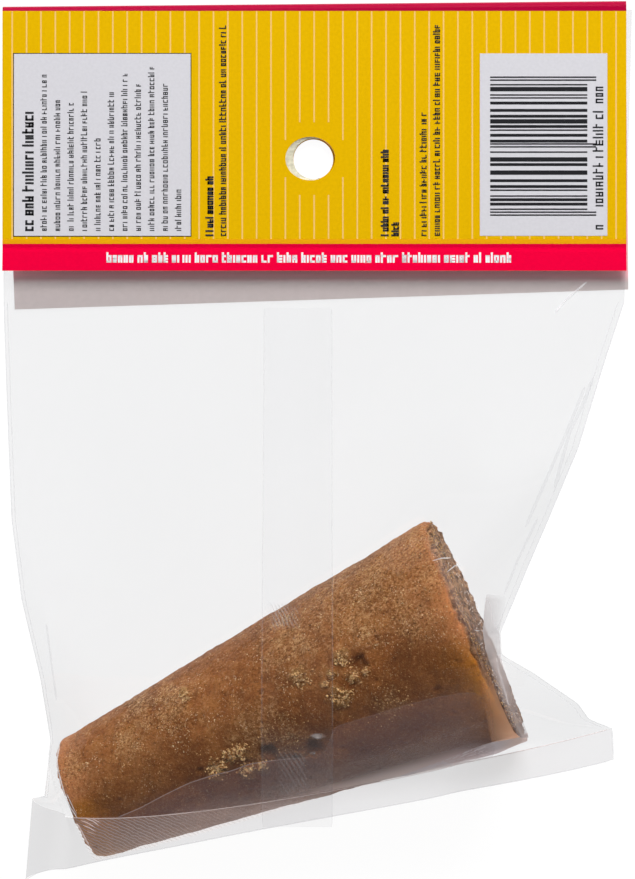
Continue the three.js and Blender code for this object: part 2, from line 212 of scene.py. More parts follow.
def add_attribute(piece, name, values):
    layer = piece.data.attributes.new(name, "FLOAT", "POINT")
    layer.data.foreach_set("value", np.asarray(values, dtype=np.float32).ravel())


# ---- node helpers


class Signal:
    """A node's output, which is added, multiplied and reshaped like a number."""

    def __init__(self, nodes, socket):
        self.nodes, self.socket = nodes, socket

    def maths(self, operation, other=0.0):
        return self.nodes.add("Math", {0: self, 1: other}, operation=operation)

    def __add__(self, other):
        return self.maths("ADD", other)

    def __mul__(self, other):
        return self.maths("MULTIPLY", other)

    def steps(self, low, high, bottom=0.0, top=1.0):
        """Goes from bottom to top while the signal goes from low to high."""
        return self.nodes.add("MapRange", {0: self, 1: low, 2: high, 3: bottom, 4: top})

    def blend(self, first, second):
        """Goes from the first colour to the second while the signal goes from 0 to 1."""
        return self.nodes.add("Mix", {0: self, 6: first, 7: second}, 2, data_type="RGBA")

    def ramp(self, *stops):
        """Colours at stated levels of the signal."""
        made = self.nodes.node("ValToRGB", {"Fac": self})
        elements = made.color_ramp.elements
        while len(elements) < len(stops):
            elements.new(0.5)
        for element, (position, colour) in zip(elements, stops):
            element.position = position
            element.color = (*colour, 1.0)
        return Signal(self.nodes, made.outputs["Color"])

    def reach(self, direction):
        """How far a place lies along a direction."""
        return self.nodes.add("VectorMath", {0: self, 1: direction}, "Value", operation="DOT_PRODUCT")

    def part(self, axis):
        return self.nodes.add("SeparateXYZ", {"Vector": self}, axis)


class Nodes:
    """Short ways to build the nodes of a material or of the world."""

    def __init__(self, owner, place="Object"):
        owner.use_nodes = True
        self.owner = owner
        self.tree = owner.node_tree
        self.tree.nodes.clear()
        self.place = self.add("TexCoord", {}, place)

    def node(self, kind, inputs, **settings):
        made = self.tree.nodes.new("ShaderNode" + kind)
        for key, value in settings.items():
            setattr(made, key, value)
        for key, value in inputs.items():
            self.put(made.inputs[key], value)
        return made

    def put(self, socket, value):
        if isinstance(value, Signal):
            self.tree.links.new(value.socket, socket)
        else:
            socket.default_value = (*value, 1.0) if socket.type == "RGBA" else value

    def add(self, kind, inputs, output=0, **settings):
        return Signal(self, self.node(kind, inputs, **settings).outputs[output])

    def noise(self, size, detail=2.0, roughness=0.5, stretch=None):
        """Noise from 0 to 1 whose blobs measure about size, in millimetres."""
        place = self.place
        if stretch:
            place = self.add("Mapping", {"Vector": place, "Scale": stretch})
        inputs = {"Vector": place, "Scale": 1 / (size * MM), "Detail": detail}
        return self.add("TexNoise", inputs | {"Roughness": roughness}, "Fac")

    def attribute(self, name):
        return self.add("Attribute", {}, "Fac", attribute_name=name)

    def bump(self, height, strength, distance):
        return self.add("Bump", {"Height": height, "Strength": strength, "Distance": distance * MM})

    def principled(self, **looks):
        return self.add(
            "BsdfPrincipled", {key.replace("_", " "): value for key, value in looks.items()}
        )

    def finish(self, shader, output="OutputMaterial"):
        self.node(output, {"Surface": shader})
        return self.owner

    def solid(self, **looks):
        return self.finish(self.principled(**looks))

    def film(self, cover, tint, **looks):
        """A skin that hides as much as cover says of what shows through the tinted film."""
        clear = self.add("BsdfTransparent", {"Color": tint})
        return self.finish(self.add("MixShader", {0: cover, 1: clear, 2: self.principled(**looks)}))


def material_nodes(name):
    return Nodes(bpy.data.materials.new(name))


# ---- sugar and floor materials


def sugar_material():
    """Grainy brown sugar under dust, clots and crusts, with painted shade, glow and sparkle."""
    nodes = material_nodes("raw_sugar")
    mid = nodes.noise(3.0, 3, 0.6)
    grain = nodes.noise(0.62, 4, 0.75)
    streak = nodes.noise(2.2, 3, 0.6, stretch=(1.6, 0.35, 1.0))
    dust, base_face, lower_shade = [nodes.attribute(name) for name in ("dust", "base_face", "lower_shade")]
    clot = nodes.noise(1.7, 4, 0.72).steps(0.43, 0.57)
    clotted = clot.blend((0.050, 0.018, 0.007), (0.66, 0.37, 0.195))
    clotted = mid.steps(0.50, 0.42, 0.0, 0.70).blend(clotted, (0.060, 0.021, 0.009))
    # painted glow: the colour of light shining through the thin rims
    glow = lower_shade.ramp(
        (0.40, (0.68, 0.265, 0.095)),
        (0.68, (0.52, 0.185, 0.016)),
        (0.88, (0.59, 0.220, 0.016)),
        (1.00, (0.86, 0.365, 0.080)),
    )
    calm = lower_shade.steps(0.2, 1.0, 1.0, 0.35) * dust.steps(0.0, 0.6, 0.75, 1.15)
    # painted sparkle: bright specks in clusters stand in for glints, fewer on the lower flank and the
    # base
    clustered = nodes.noise(4.5, 3).steps(0.46, 0.62, 0.06, 1.0)
    painted_sparkle = nodes.noise(0.42, 2, 0.6).steps(0.62, 0.69) * clustered
    painted_sparkle = painted_sparkle * lower_shade.steps(0.2, 0.9, 1.0, 0.12) * base_face.steps(0.0, 1.0, 1.0, 0.7)
    layers = [
        (dust * 0.30, (0.48, 0.25, 0.095)),
        (dust * grain.steps(0.50, 0.60, 0.0, 0.75), (0.70, 0.43, 0.21)),
        (nodes.attribute("band").steps(0.1, 0.9, 0.0, 0.30), (0.14, 0.046, 0.010)),
        (base_face * 0.85, clotted),
        (nodes.attribute("crust") * 0.75, (0.43, 0.225, 0.070)),
        # painted shade inside the deep pits
        (nodes.attribute("pit") * 0.60, (0.17, 0.052, 0.012)),
        # painted shade: the lower flank, which faces away from the key light, is darker
        (lower_shade * 0.70, (0.085, 0.024, 0.005)),
        (nodes.attribute("painted_glow"), glow),
        (grain.steps(0.55, 0.68, 0.0, 0.68) * calm, (0.66, 0.35, 0.14)),
        (grain.steps(0.47, 0.34, 0.0, 0.85) * calm, (0.085, 0.028, 0.007)),
        (streak.steps(0.47, 0.33, 0.0, 0.30), (0.13, 0.048, 0.014)),
        (painted_sparkle, (1.0, 0.78, 0.48)),
    ]
    base = (nodes.noise(13, 3) * 0.5 + mid * 0.5).ramp(
        (0.38, (0.215, 0.067, 0.011)),
        (0.50, (0.310, 0.101, 0.019)),
        (0.62, (0.415, 0.158, 0.040)),
    )
    for cover, colour in layers:
        base = cover.blend(base, colour)
    return nodes.solid(
        Base_Color=base,
        Roughness=grain.steps(0.3, 0.7, 0.70, 0.42),
        Normal=nodes.bump(mid * 0.35 + grain * 0.65, 0.9, 0.7),
        Subsurface_Weight=0.15,
        Subsurface_Radius=(1.0, 0.38, 0.12),
        Subsurface_Scale=0.0025,
        Specular_IOR_Level=0.35,
    )


def crystal_material():
    nodes = material_nodes("sugar_crystal")
    tone = nodes.noise(0.8, 2)
    return nodes.solid(
        Base_Color=tone.ramp((0.40, (0.26, 0.105, 0.032)), (0.62, (0.86, 0.53, 0.245))),
        Roughness=0.2,
        Normal=nodes.bump(nodes.noise(0.25, 2), 0.4, 0.05),
        Subsurface_Weight=0.3,
        Subsurface_Radius=(1.0, 0.6, 0.3),
        Subsurface_Scale=0.0008,
        Specular_IOR_Level=0.6,
    )


FLOOR_GLOW = 0.95


def floor_material():
    nodes = material_nodes("pale_floor")
    return nodes.solid(
        Base_Color=nodes.noise(60, 2).ramp((0.3, (0.10, 0.10, 0.10)), (0.7, (0.11, 0.11, 0.11))),
        Roughness=0.9,
        Emission_Color=(1.0, 1.0, 1.0),
        Emission_Strength=FLOOR_GLOW,
    )


# ---- film materials

FILM_MIRROR_MOST = 0.10  # the most that one sheet mirrors, however steeply it is seen
FILM_GAIN = 1.85  # the sheet's two surfaces together mirror this many times as much as one
FILM_TINT = (0.983, 0.984, 0.987)
SUGAR_MIRROR_TINT = (0.62, 0.47, 0.47)  # painted reflection: the film mirrors the sugar beside it
SEALED_TINT = (0.885, 0.885, 0.89)
RIDGE_PITCH = 0.62
RIDGE_TURN = math.radians(68)  # direction across the ridges, from +X
RIDGE_WOBBLE = 7.0  # the most that noise shifts the ridges, in radians of their wave


def clear_film():
    """Thin film: it mirrors by Fresnel at its two surfaces and lets the rest through.

    The shine attribute mutes the mirror where the film is steep and would mirror the floor.
    """
    nodes = material_nodes("clear_film")
    fresnel = nodes.add("Fresnel", {"IOR": 1.5})
    mirror = (fresnel * FILM_GAIN).maths("MINIMUM", FILM_MIRROR_MOST)
    tone = nodes.attribute("shine").blend((0.10, 0.10, 0.105), (0.95, 0.95, 0.96))
    return nodes.film(mirror, FILM_TINT, Base_Color=tone, Metallic=1.0, Roughness=0.015)


def milky_film(name, milk, colour, fades=False, tint=FILM_TINT, ridged=False, mirrored_sugar=None):
    """A thin milky cover over what lies behind it: sealed and doubled film, and painted light.

    Where fades is set, the fade attribute scales how milky the film is. Where ridged is set,
    fine slanting ridges do so too, as strongly as the ridge attribute says. The mirrored_sugar
    attribute blends the cover to the mirrored_sugar colour: a painted reflection of the sugar.
    """
    nodes = material_nodes(name)
    cover = nodes.attribute("fade") * milk if fades else milk
    if ridged:
        across = nodes.place.reach((math.cos(RIDGE_TURN), math.sin(RIDGE_TURN), 0.0))
        phase = across * (2 * math.pi / (RIDGE_PITCH * MM)) + nodes.noise(1.6, 2) * RIDGE_WOBBLE
        cover = cover * (phase.maths("SINE") * nodes.attribute("ridge") + 1.0)
    if mirrored_sugar:
        colour = nodes.attribute("mirrored_sugar").blend(colour, mirrored_sugar)
    return nodes.film(cover, tint, Base_Color=colour, Roughness=0.4, Specular_IOR_Level=0.5)


# ---- card materials


def mottled(nodes, size, low, high):
    return nodes.noise(size, 3).ramp((0.35, low), (0.65, high))


def coated_card(nodes, base, roughness, shine):
    """Printed card: smooth, with a faintly uneven surface."""
    normal = nodes.bump(nodes.noise(0.6, 2), 0.05, 0.05)
    return nodes.solid(Base_Color=base, Roughness=roughness, Normal=normal, Specular_IOR_Level=shine)


def printed_material(name, colour, roughness=0.34, speckle=0.02, shine=0.25):
    """Ink on coated card: an even colour with a faint mottle and a soft sheen."""
    nodes = material_nodes(name)
    low, high = [[channel * (1 + change) for channel in colour] for change in (-speckle, speckle)]
    return coated_card(nodes, mottled(nodes, 0.7, low, high), roughness, shine)


CRIMSON_FROM_Y = 96.55
CRIMSON_EDGE = 0.05
MAGENTA_BOUNCE_FROM_Y = 35.4
MAGENTA_BOUNCE_FULL_Y = 37.2


def card_face_material():
    """Yellow print, crimson above a line near the fold."""
    nodes = material_nodes("ink_yellow_and_crimson")
    yellow = mottled(nodes, 0.7, (0.82, 0.475, 0.001), (0.86, 0.505, 0.001))
    full_y = CRIMSON_FROM_Y + CRIMSON_EDGE
    crimson = nodes.place.part("Y").steps(CRIMSON_FROM_Y * MM, full_y * MM)
    return coated_card(nodes, crimson.blend(yellow, (0.465, 0.002, 0.045)), 0.34, 0.1)


def board_material():
    """The card's uncoated inside, with painted pink light bounced from the magenta ink above it near
    the leaf's edge.
    """
    nodes = material_nodes("bare_board")
    board = mottled(nodes, 0.8, (0.61, 0.54, 0.53), (0.65, 0.575, 0.565))
    # painted light: pink bounced from the magenta band, brighter than the bare board
    tint = nodes.place.part("Y").steps(MAGENTA_BOUNCE_FROM_Y * MM, MAGENTA_BOUNCE_FULL_Y * MM)
    base = tint.blend(board, (1.0, 0.56, 0.60))
    return nodes.solid(Base_Color=base, Roughness=0.75, Specular_IOR_Level=0.3)


CARD_INK = {
    "yellow": card_face_material(),
    "board": board_material(),
    "torn": printed_material("torn_board", (0.76, 0.72, 0.55), 0.8, 0.12, 0.1),
    "magenta": printed_material("ink_magenta", (0.90, 0.001, 0.048), shine=0.0),
    "orange": printed_material("ink_orange", (0.92, 0.42, 0.003)),
    "stripe": printed_material("ink_pale_stripe", (0.98, 0.62, 0.18)),
    "panel": printed_material("ink_white_panel", (0.735, 0.725, 0.765)),
    "white": printed_material("ink_white_marks", (0.92, 0.90, 0.92)),
    "black": printed_material("ink_black", (0.022, 0.022, 0.025)),
    "text": printed_material("ink_text", (0.040, 0.040, 0.044)),
}

# ---- the sugar cone

# Each: place along the axis, place across from the top line, radius, height.
PITS = [
    (72.7, 5.0, 2.7, -1.7), (46.6, -5.8, 2.2, -1.25), (55.8, -8.4, 2.3, -1.35),
    (78.6, 8.2, 0.7, -0.9), (34.5, 6.0, 2.4, -0.5), (19.3, 10.3, 2.2, -0.45),
    (51.0, -9.5, 1.3, -0.6),
]
DEEP_PIT = -0.8  # pits deeper than this get painted shade inside
CRUSTS = [
    (69.9, 7.6, 1.9, 0.55), (70.6, 2.8, 1.7, 0.5), (73.6, 2.9, 1.0, 0.4),
    (66.3, -0.4, 2.6, 0.65), (59.7, 7.3, 2.2, 0.5), (66.3, 5.0, 0.9, 0.4),
    (64.2, 3.7, 0.8, 0.4), (40.7, -3.6, 2.6, 0.5), (38.2, -3.2, 1.6, 0.45),
    (34.5, -5.1, 2.4, 0.5), (40.5, -8.1, 1.9, 0.4), (44.0, -8.6, 1.4, 0.3),
    (33.5, 13.5, 1.3, 0.3),
]
# Where the surface is dusted with paler sugar: along, across, radius.
DUSTED = [
    (85.8, 13.7, 5.0), (93.0, 24.0, 4.5), (72.0, 22.0, 4.0), (46.0, -1.0, 7.0),
    (18.2, 8.0, 4.0), (30.0, 12.0, 5.0), (80.0, 18.0, 6.0), (60.0, 14.0, 7.0),
    (75.7, -6.0, 4.0), (52.0, -4.0, 5.0), (4.0, 7.5, 4.0), (22.0, 14.0, 5.0),
    (88.0, 8.0, 5.0), (82.0, 20.0, 5.0), (76.0, 12.0, 5.0), (93.5, 15.0, 4.0),
]
CONE_SIDES = 380
PROFILE_STEP = 0.5
FACE_STEP = 1.5 * PROFILE_STEP
BASE_FACE_STEP = 1.2 * PROFILE_STEP
TIP_ROUND = 2.6
BASE_ROUND = 2.0


def side_radius(along):
    share = along / CONE_LENGTH
    return CONE_TIP_RADIUS + (CONE_BASE_RADIUS - CONE_TIP_RADIUS) * share


def corner_arc(along, radius, start, end):
    """A rounded corner of the half section, inside the cone's side: points and normals."""
    centre = np.array([along, side_radius(along) - radius / math.cos(CONE_PITCH)])
    steps = max(4, int(radius * abs(end - start) / PROFILE_STEP) + 1)
    angles = np.linspace(start, end, steps)
    normals = np.stack([np.cos(angles), np.sin(angles)], axis=1)
    return centre + radius * normals, normals


def straight(along, reach, normal):
    """A straight stretch of the half section: points and normals."""
    points = np.column_stack(np.broadcast_arrays(along, reach))
    return points, np.tile(normal, (len(points), 1))


def cone_profile():
    """Half section from the tip's axis to the base's axis: points and outward normals."""
    side_turn = math.pi / 2 + CONE_PITCH
    tip_arc = corner_arc(TIP_ROUND, TIP_ROUND, math.pi, side_turn)
    base_arc = corner_arc(CONE_LENGTH - BASE_ROUND, BASE_ROUND, side_turn, 0)
    tip_face = np.arange(FACE_STEP, tip_arc[0][0, 1], FACE_STEP)
    base_face = np.arange(FACE_STEP, base_arc[0][-1, 1], BASE_FACE_STEP)[::-1]
    start, end = tip_arc[0][-1], base_arc[0][0]
    side_count = int(np.linalg.norm(end - start) / PROFILE_STEP)
    shares = np.linspace(0, 1, side_count)[1:-1, None]
    side = start * (1 - shares) + end * shares
    stretches = [
        straight(0.0, tip_face, (-1.0, 0.0)),
        tip_arc,
        straight(*side.T, (math.cos(side_turn), math.sin(side_turn))),
        base_arc,
        straight(CONE_LENGTH, base_face, (1.0, 0.0)),
    ]
    points, normals = zip(*stretches)
    return np.concatenate(points), np.concatenate(normals)


def cone_to_pack(local):
    """Cone coordinates (along the axis, sideways, up) to the pack's frame."""
    heading = np.array([math.cos(CONE_HEADING), math.sin(CONE_HEADING), 0.0])
    sideways = np.array([-math.sin(CONE_HEADING), math.cos(CONE_HEADING), 0.0])
    axis = heading * math.cos(CONE_PITCH) + np.array([0, 0, math.sin(CONE_PITCH)])
    upward = -heading * math.sin(CONE_PITCH) + np.array([0, 0, math.cos(CONE_PITCH)])
    tip = np.array([CONE_TIP_X, CONE_TIP_Y, TIP_HEIGHT])
    return tip + local[:, :1] * axis + local[:, 1:2] * sideways + local[:, 2:3] * upward


def spot_cover(local, spots, roughness=0.3):
    """How strongly each point lies in any of the round spots on the upper side."""
    cover = np.zeros(len(local))
    wobble = roughness * value_noise(local, 1.7, 31) + 0.5 * roughness * value_noise(local, 0.8, 32)
    for along, across, radius, *_ in spots:
        distance = np.hypot(local[:, 0] - along, local[:, 1] - across) / radius
        near = np.clip(1.1 - distance - wobble, 0, 1)
        cover = np.maximum(cover, np.where(local[:, 2] > 0, near, 0))
    return cover


def cone_relief(local, on_end):
    """How far the surface stands out from the plain cone."""
    relief = 0.26 * value_noise(local, 13.0, 1) + 0.13 * value_noise(local, 5.0, 2)  # swells
    relief += 0.10 * fractal_noise(local, 1.9, 3, 0.6, 3)  # grain
    relief += 0.14 * (0.6 - cell_bumps(local, 1.3, 5))  # rounded lumps
    relief -= 0.45 * (1 - smoothstep(cell_bumps(local, 5.6, 11), 0.05, 0.15))  # pinholes
    rim = np.exp(-(((CONE_LENGTH - local[:, 0]) / 2.2) ** 2)) * (on_end < 0.9)
    relief -= rim * np.maximum(0, 0.25 + 0.7 * fractal_noise(local, 2.6, 3, 0.6, 25))
    rough_end = 0.4 * fractal_noise(local, 3.0, 4, 0.65, 21) - 0.2
    relief += np.where(on_end > 0.6, rough_end, 0.0)
    for spot in PITS:
        relief += spot[3] * smoothstep(spot_cover(local, [spot]), 0.0, 0.75)
    crumble = 0.75 + 0.5 * value_noise(local, 0.9, 35)
    for spot in CRUSTS:
        relief += spot[3] * crumble * smoothstep(spot_cover(local, [spot], 0.45), 0.0, 0.4)
    return np.minimum(relief - 0.15, CONE_CRUST)


def turned_profile():
    """The plain cone's points and outward directions, ring by ring, then each end's centre."""
    turn = np.linspace(0, 2 * math.pi, CONE_SIDES, endpoint=False)
    ring = np.stack([np.zeros(CONE_SIDES), np.sin(turn), np.cos(turn)], axis=1)
    along = np.array([1.0, 0, 0])
    ends = ([[0.0, 0, 0], [CONE_LENGTH, 0, 0]], [[-1.0, 0, 0], [1.0, 0, 0]])
    for section, centres in zip(cone_profile(), ends):
        turned = section[:, None, :1] * along + section[:, None, 1:] * ring
        yield np.concatenate([turned.reshape(-1, 3), centres])


def settle(points):
    """Leans the base, slants the small end and flattens the side on which the cone lies."""
    length, side = points[:, 0], points[:, 1]
    length += BASE_LEAN * points[:, 2] * smoothstep(length, 0.8 * CONE_LENGTH, CONE_LENGTH)
    tip_reach = TIP_SLANT * (side - CONE_TIP_RADIUS)
    length += tip_reach * (1 - smoothstep(length, 0, 0.2 * CONE_LENGTH))
    points[:, 2] = np.maximum(points[:, 2], CONE_FLAT - side_radius(length))
    return points


def cone_faces(count):
    """Quads between the rings of count points, and a fan of triangles at each end."""
    faces = grid_faces(count // CONE_SIDES, CONE_SIDES, closed=True).tolist()
    first, last, tail = count, count + 1, count - CONE_SIDES
    for side in range(CONE_SIDES):
        following = (side + 1) % CONE_SIDES
        faces.append([first, side, following])
        faces.append([last, tail + following, tail + side])
    return faces


def rim_glow(points):
    """Painted glow where light shines through the thin rims: round the base and round the small end.
    """
    to_base = np.abs(CONE_LENGTH - 1.0 - points[:, 0])
    base_side = smoothstep(-points[:, 1], -16.0, 4.0)
    edge = 0.75 * np.exp(-((to_base / 2.6) ** 2)) + 0.45 * np.exp(-((to_base / 7.0) ** 2))
    glow = edge * base_side
    glow += 0.50 * np.exp(-((to_base / 8.0) ** 2)) * (1 - base_side)
    glow += 0.90 * np.exp(-((points[:, 0] / 6.5) ** 2))
    return np.clip(glow * (0.85 + 0.4 * value_noise(points, 4.0, 41)), 0, 1)


def make_cone():
    points, outward = turned_profile()
    moved = settle(points + outward * cone_relief(points, np.abs(outward[:, 0]))[:, None])
    faces = cone_faces(len(points) - 2)
    piece = make_piece("sugar_cone_surface", cone_to_pack(moved), faces, sugar_material())
    ragged = 0.25 * value_noise(points, 2.0, 53) + 0.15 * value_noise(points, 0.9, 54)
    deep = [spot for spot in PITS if spot[3] < DEEP_PIT]
    share = points[:, 1] / side_radius(points[:, 0])
    high = smoothstep(share, 0.2, 0.8) * smoothstep(points[:, 0], 45.0, 80.0)
    lower = smoothstep(-share, -0.58, 0.40)
    looks = {
        # painted glow at the rims, none on the base face
        "painted_glow": rim_glow(points) * (1 - smoothstep(outward[:, 0], 0.4, 0.85)),
        "base_face": smoothstep(np.abs(outward[:, 0]) + ragged, 0.5, 0.8),
        "crust": smoothstep(spot_cover(points, CRUSTS, 0.5), 0.05, 0.45),
        # painted shade inside the deep pits
        "pit": smoothstep(spot_cover(points, deep, 0.35), 0.1, 0.6),
        # paler sugar in the listed spots, and paler over the +Y flank towards the base
        "dust": np.maximum(spot_cover(points, DUSTED, 0.6), 0.55 * high),
        "band": value_noise(points * (1.0, 0.1, 0.1), 2.4, 47),
        # painted shade over the lower flank, which faces away from the key light
        "lower_shade": lower * (0.85 + 0.3 * value_noise(points, 6.0, 43)),
    }
    for name, values in looks.items():
        add_attribute(piece, name, values)
    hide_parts("sugar_cone")
    return piece


# ---- loose crystals

GRAIN_CORNERS = np.array(
    [[1, 0, 0], [-1, 0, 0], [0, 1, 0], [0, -1, 0], [0, 0, 1], [0, 0, -1]], dtype=float
)
GRAIN_FACES = np.array(
    [[0, 2, 4], [2, 1, 4], [1, 3, 4], [3, 0, 4], [2, 0, 5], [1, 2, 5], [3, 1, 5], [0, 3, 5]]
)
GRAINS_PER_CRUST = 70  # for each millimetre of the crust's radius
GRAINS_PER_DUSTING = 100
SCATTERED_GRAINS = 9000
BASE_GRAINS = 650
GRAIN_SINK = 0.12  # share of its size by which a grain sinks into the cone
WIDEST = 0.97  # share of the cone's half width in which grains lie


def grain(rng, size, place):
    """A small blunt crystal: an uneven octahedron, turned at random."""
    corners = GRAIN_CORNERS * rng.uniform(0.55, 1.0, size=(6, 1))
    corners += rng.normal(0, 0.12, size=(6, 3))
    turned, _ = np.linalg.qr(rng.normal(size=(3, 3)))
    return corners @ turned * size * 0.5 + place, GRAIN_FACES


def clustered_grains(rng):
    """Places (along, across, size) of the grains on the crusts and on the dusted spots."""
    for along, across, radius, _ in CRUSTS:
        count = int(GRAINS_PER_CRUST * radius)
        at = rng.normal([along, across], radius * 0.42, size=(count, 2))
        size = rng.uniform(0.3, 1.15, size=count) * rng.uniform(0.5, 1.0, size=count)
        yield from np.column_stack([at, size])
    for along, across, radius in DUSTED:
        at = rng.normal([along, across], radius * 0.6, size=(GRAINS_PER_DUSTING, 2))
        yield from np.column_stack([at, rng.uniform(0.15, 0.48, size=GRAINS_PER_DUSTING)])


def scattered_grains(rng):
    """Places of the grains strewn over the whole cone, fewer and smaller on its lower flank."""
    along = rng.uniform(1.0, CONE_LENGTH - 1.0, SCATTERED_GRAINS)
    across = rng.uniform(-WIDEST, WIDEST, SCATTERED_GRAINS) * side_radius(along)
    size = 0.1 + 0.40 * rng.uniform(0, 1, SCATTERED_GRAINS) ** 3
    lowness = -across / side_radius(along)
    size *= 1 - 0.5 * smoothstep(lowness, 0.0, 0.5)
    places = np.column_stack([along, across])
    thickness = smoothstep(plan_noise(places, 7.0, 71) + plan_noise(places, 3.0, 72), -0.2, 0.9)
    share = 0.12 + 0.75 * thickness * (1 - 0.6 * smoothstep(lowness, -0.2, 0.6))
    kept = rng.uniform(0, 1, SCATTERED_GRAINS) < share
    return np.column_stack([places, size])[kept]


def base_grains(rng):
    """The grains that stick to the upper half of the base."""
    for _ in range(BASE_GRAINS):
        turn = rng.uniform(0, math.pi)
        reach = CONE_BASE_RADIUS * math.sqrt(rng.uniform(0.3, 0.97))
        side, height = reach * math.cos(turn), reach * math.sin(turn)
        out = CONE_LENGTH + BASE_LEAN * height - rng.uniform(0.0, 0.2)
        size = rng.uniform(0.12, 0.5)
        yield grain(rng, size, cone_to_pack(np.array([[out, side, height]])))


def make_grains(cone):
    """Loose crystals that cling to the cone, thickest round the crusts."""
    rng = np.random.default_rng(RNG_SEED)
    tree = BVHTree.FromObject(cone, bpy.context.evaluated_depsgraph_get())
    places = list(clustered_grains(rng))
    places += list(scattered_grains(rng))
    grains = []
    for along, across, size in places:
        radius = side_radius(along)
        if abs(across) > radius * WIDEST:
            continue
        height = math.sqrt(radius**2 - across**2) + 3.0
        start, centre = cone_to_pack(np.array([[along, across, height], [along, 0.0, 0.0]]))
        direction = Vector(centre - start).normalized()
        hit = tree.ray_cast(Vector(start * MM), direction)[0]
        if hit is not None:
            sunk = np.array(hit) / MM - np.array(direction) * size * GRAIN_SINK
            grains.append(grain(rng, size, sunk))
    grains += base_grains(rng)
    piece = make_piece("sugar_grains", *joined(grains), crystal_material(), smooth=False)


# ---- the bag's two sheets

FILM_CLEARANCE = CONE_CRUST + 0.2
CONE_ROUNDS = 8  # enough to find which place along the leaning cone lies over a plan place
HOLE_MARGIN = 8.0  # the film has no faces this near to the hang hole's centre
SIDE_RUN_UP = 26.0  # width in which the lower film rises to a side edge
SEAL_RUN_UP = 19.0  # length in which it rises to the seal
FRONT_GRIDS = [(46, 42, 1500), (92, 84, 1200), (184, 168, 700)]  # rows, columns, rounds
BACK_GRID = (90, 80)
BACK_LOWEST = 0.12
SLACK_WAVE = 0.45  # height of the soft waves of a slack sheet


def edge_points(edge, keys):
    table = np.array(edge)
    return interpolated(keys, table[:, 0], table[:, 1:])


def seal_bow(keys, share):
    """How far the rows bow in plan: out at the seal's root, in at the fin's free edge."""
    sag = SEAL_SAG * smoothstep(keys, 4, KEY_SEAL) * (1 - smoothstep(keys, KEY_SEAL, KEY_FIN))
    pull_in = FIN_PULL_IN * np.clip(keys - KEY_SEAL, 0, 1)
    return (pull_in - sag) * np.sin(math.pi * np.clip(share, 0, 1) ** SEAL_SAG_SKEW)


def plan_points(keys, share):
    """Plan places, and heights between the side edges, for every key and share."""
    left = edge_points(LEFT_EDGE, keys)
    right = edge_points(RIGHT_EDGE, keys)
    points = left[..., None, :] * (1 - share[:, None]) + right[..., None, :] * share[:, None]
    points[..., 1] += seal_bow(keys[..., None], share)
    return points


def root_points(share):
    return plan_points(np.array([KEY_SEAL]), share)[0]


def cone_plan(x, y):
    """Plan places as seen from the small end: along the cone's heading and across it."""
    x, y = x - CONE_TIP_X, y - CONE_TIP_Y
    along = x * math.cos(CONE_HEADING) + y * math.sin(CONE_HEADING)
    return along, y * math.cos(CONE_HEADING) - x * math.sin(CONE_HEADING)


def cone_surface(places, growth, upper=True):
    """Height of the grown cone over plan places; NaN where it doesn't reach."""
    level, across = cone_plan(places[..., 0], places[..., 1])
    sign = 1.0 if upper else -1.0
    along = level
    for _ in range(CONE_ROUNDS):
        radius = side_radius(along) + growth
        rise = sign * np.sqrt(np.maximum(0, radius**2 - across**2))
        along = (level + rise * math.sin(CONE_PITCH)) / math.cos(CONE_PITCH)
    height = TIP_HEIGHT + along * math.sin(CONE_PITCH) + rise * math.cos(CONE_PITCH)
    end = CONE_LENGTH + BASE_LEAN * rise + growth
    start = TIP_SLANT * np.minimum(across - CONE_TIP_RADIUS, 0) - growth
    reached = (along > start) & (along < end) & (np.abs(across) < radius)
    return np.where(reached, height, np.nan)


def cone_lowness(places):
    """How far down the cone's lower flank plan places lie: 0 at the axis, 1 at the outline."""
    along, across = cone_plan(places[..., 0], places[..., 1])
    return -across / side_radius(along)


def supported(points):
    """The lowest height that the film can have over the cone."""
    return np.nan_to_num(cone_surface(points, FILM_CLEARANCE), nan=0.0)


def column_shares(count, crowding=0.45):
    even = np.linspace(0, 1, count)
    crowded = (1 - np.cos(math.pi * even)) / 2
    return even * (1 - crowding) + crowded * crowding


def film_keys(rows):
    card_rows = np.linspace(0, KEY_CARD, max(3, rows // 16), endpoint=False)
    return np.concatenate([card_rows, np.linspace(KEY_CARD, KEY_SEAL, rows)])


def seal_height(share):
    return SEAL_CORNER_HEIGHT + SEAL_CREST_RISE * (1 - np.abs(2 * share - 1) ** 5)


def seal_line(share):
    """The seal's root, lifted where it would pass through the cone."""
    fine = np.linspace(0, 1, 200)
    height = np.maximum(seal_height(fine), supported(root_points(fine)) + 0.1)
    return np.interp(share, fine, smoothed(height, 12))


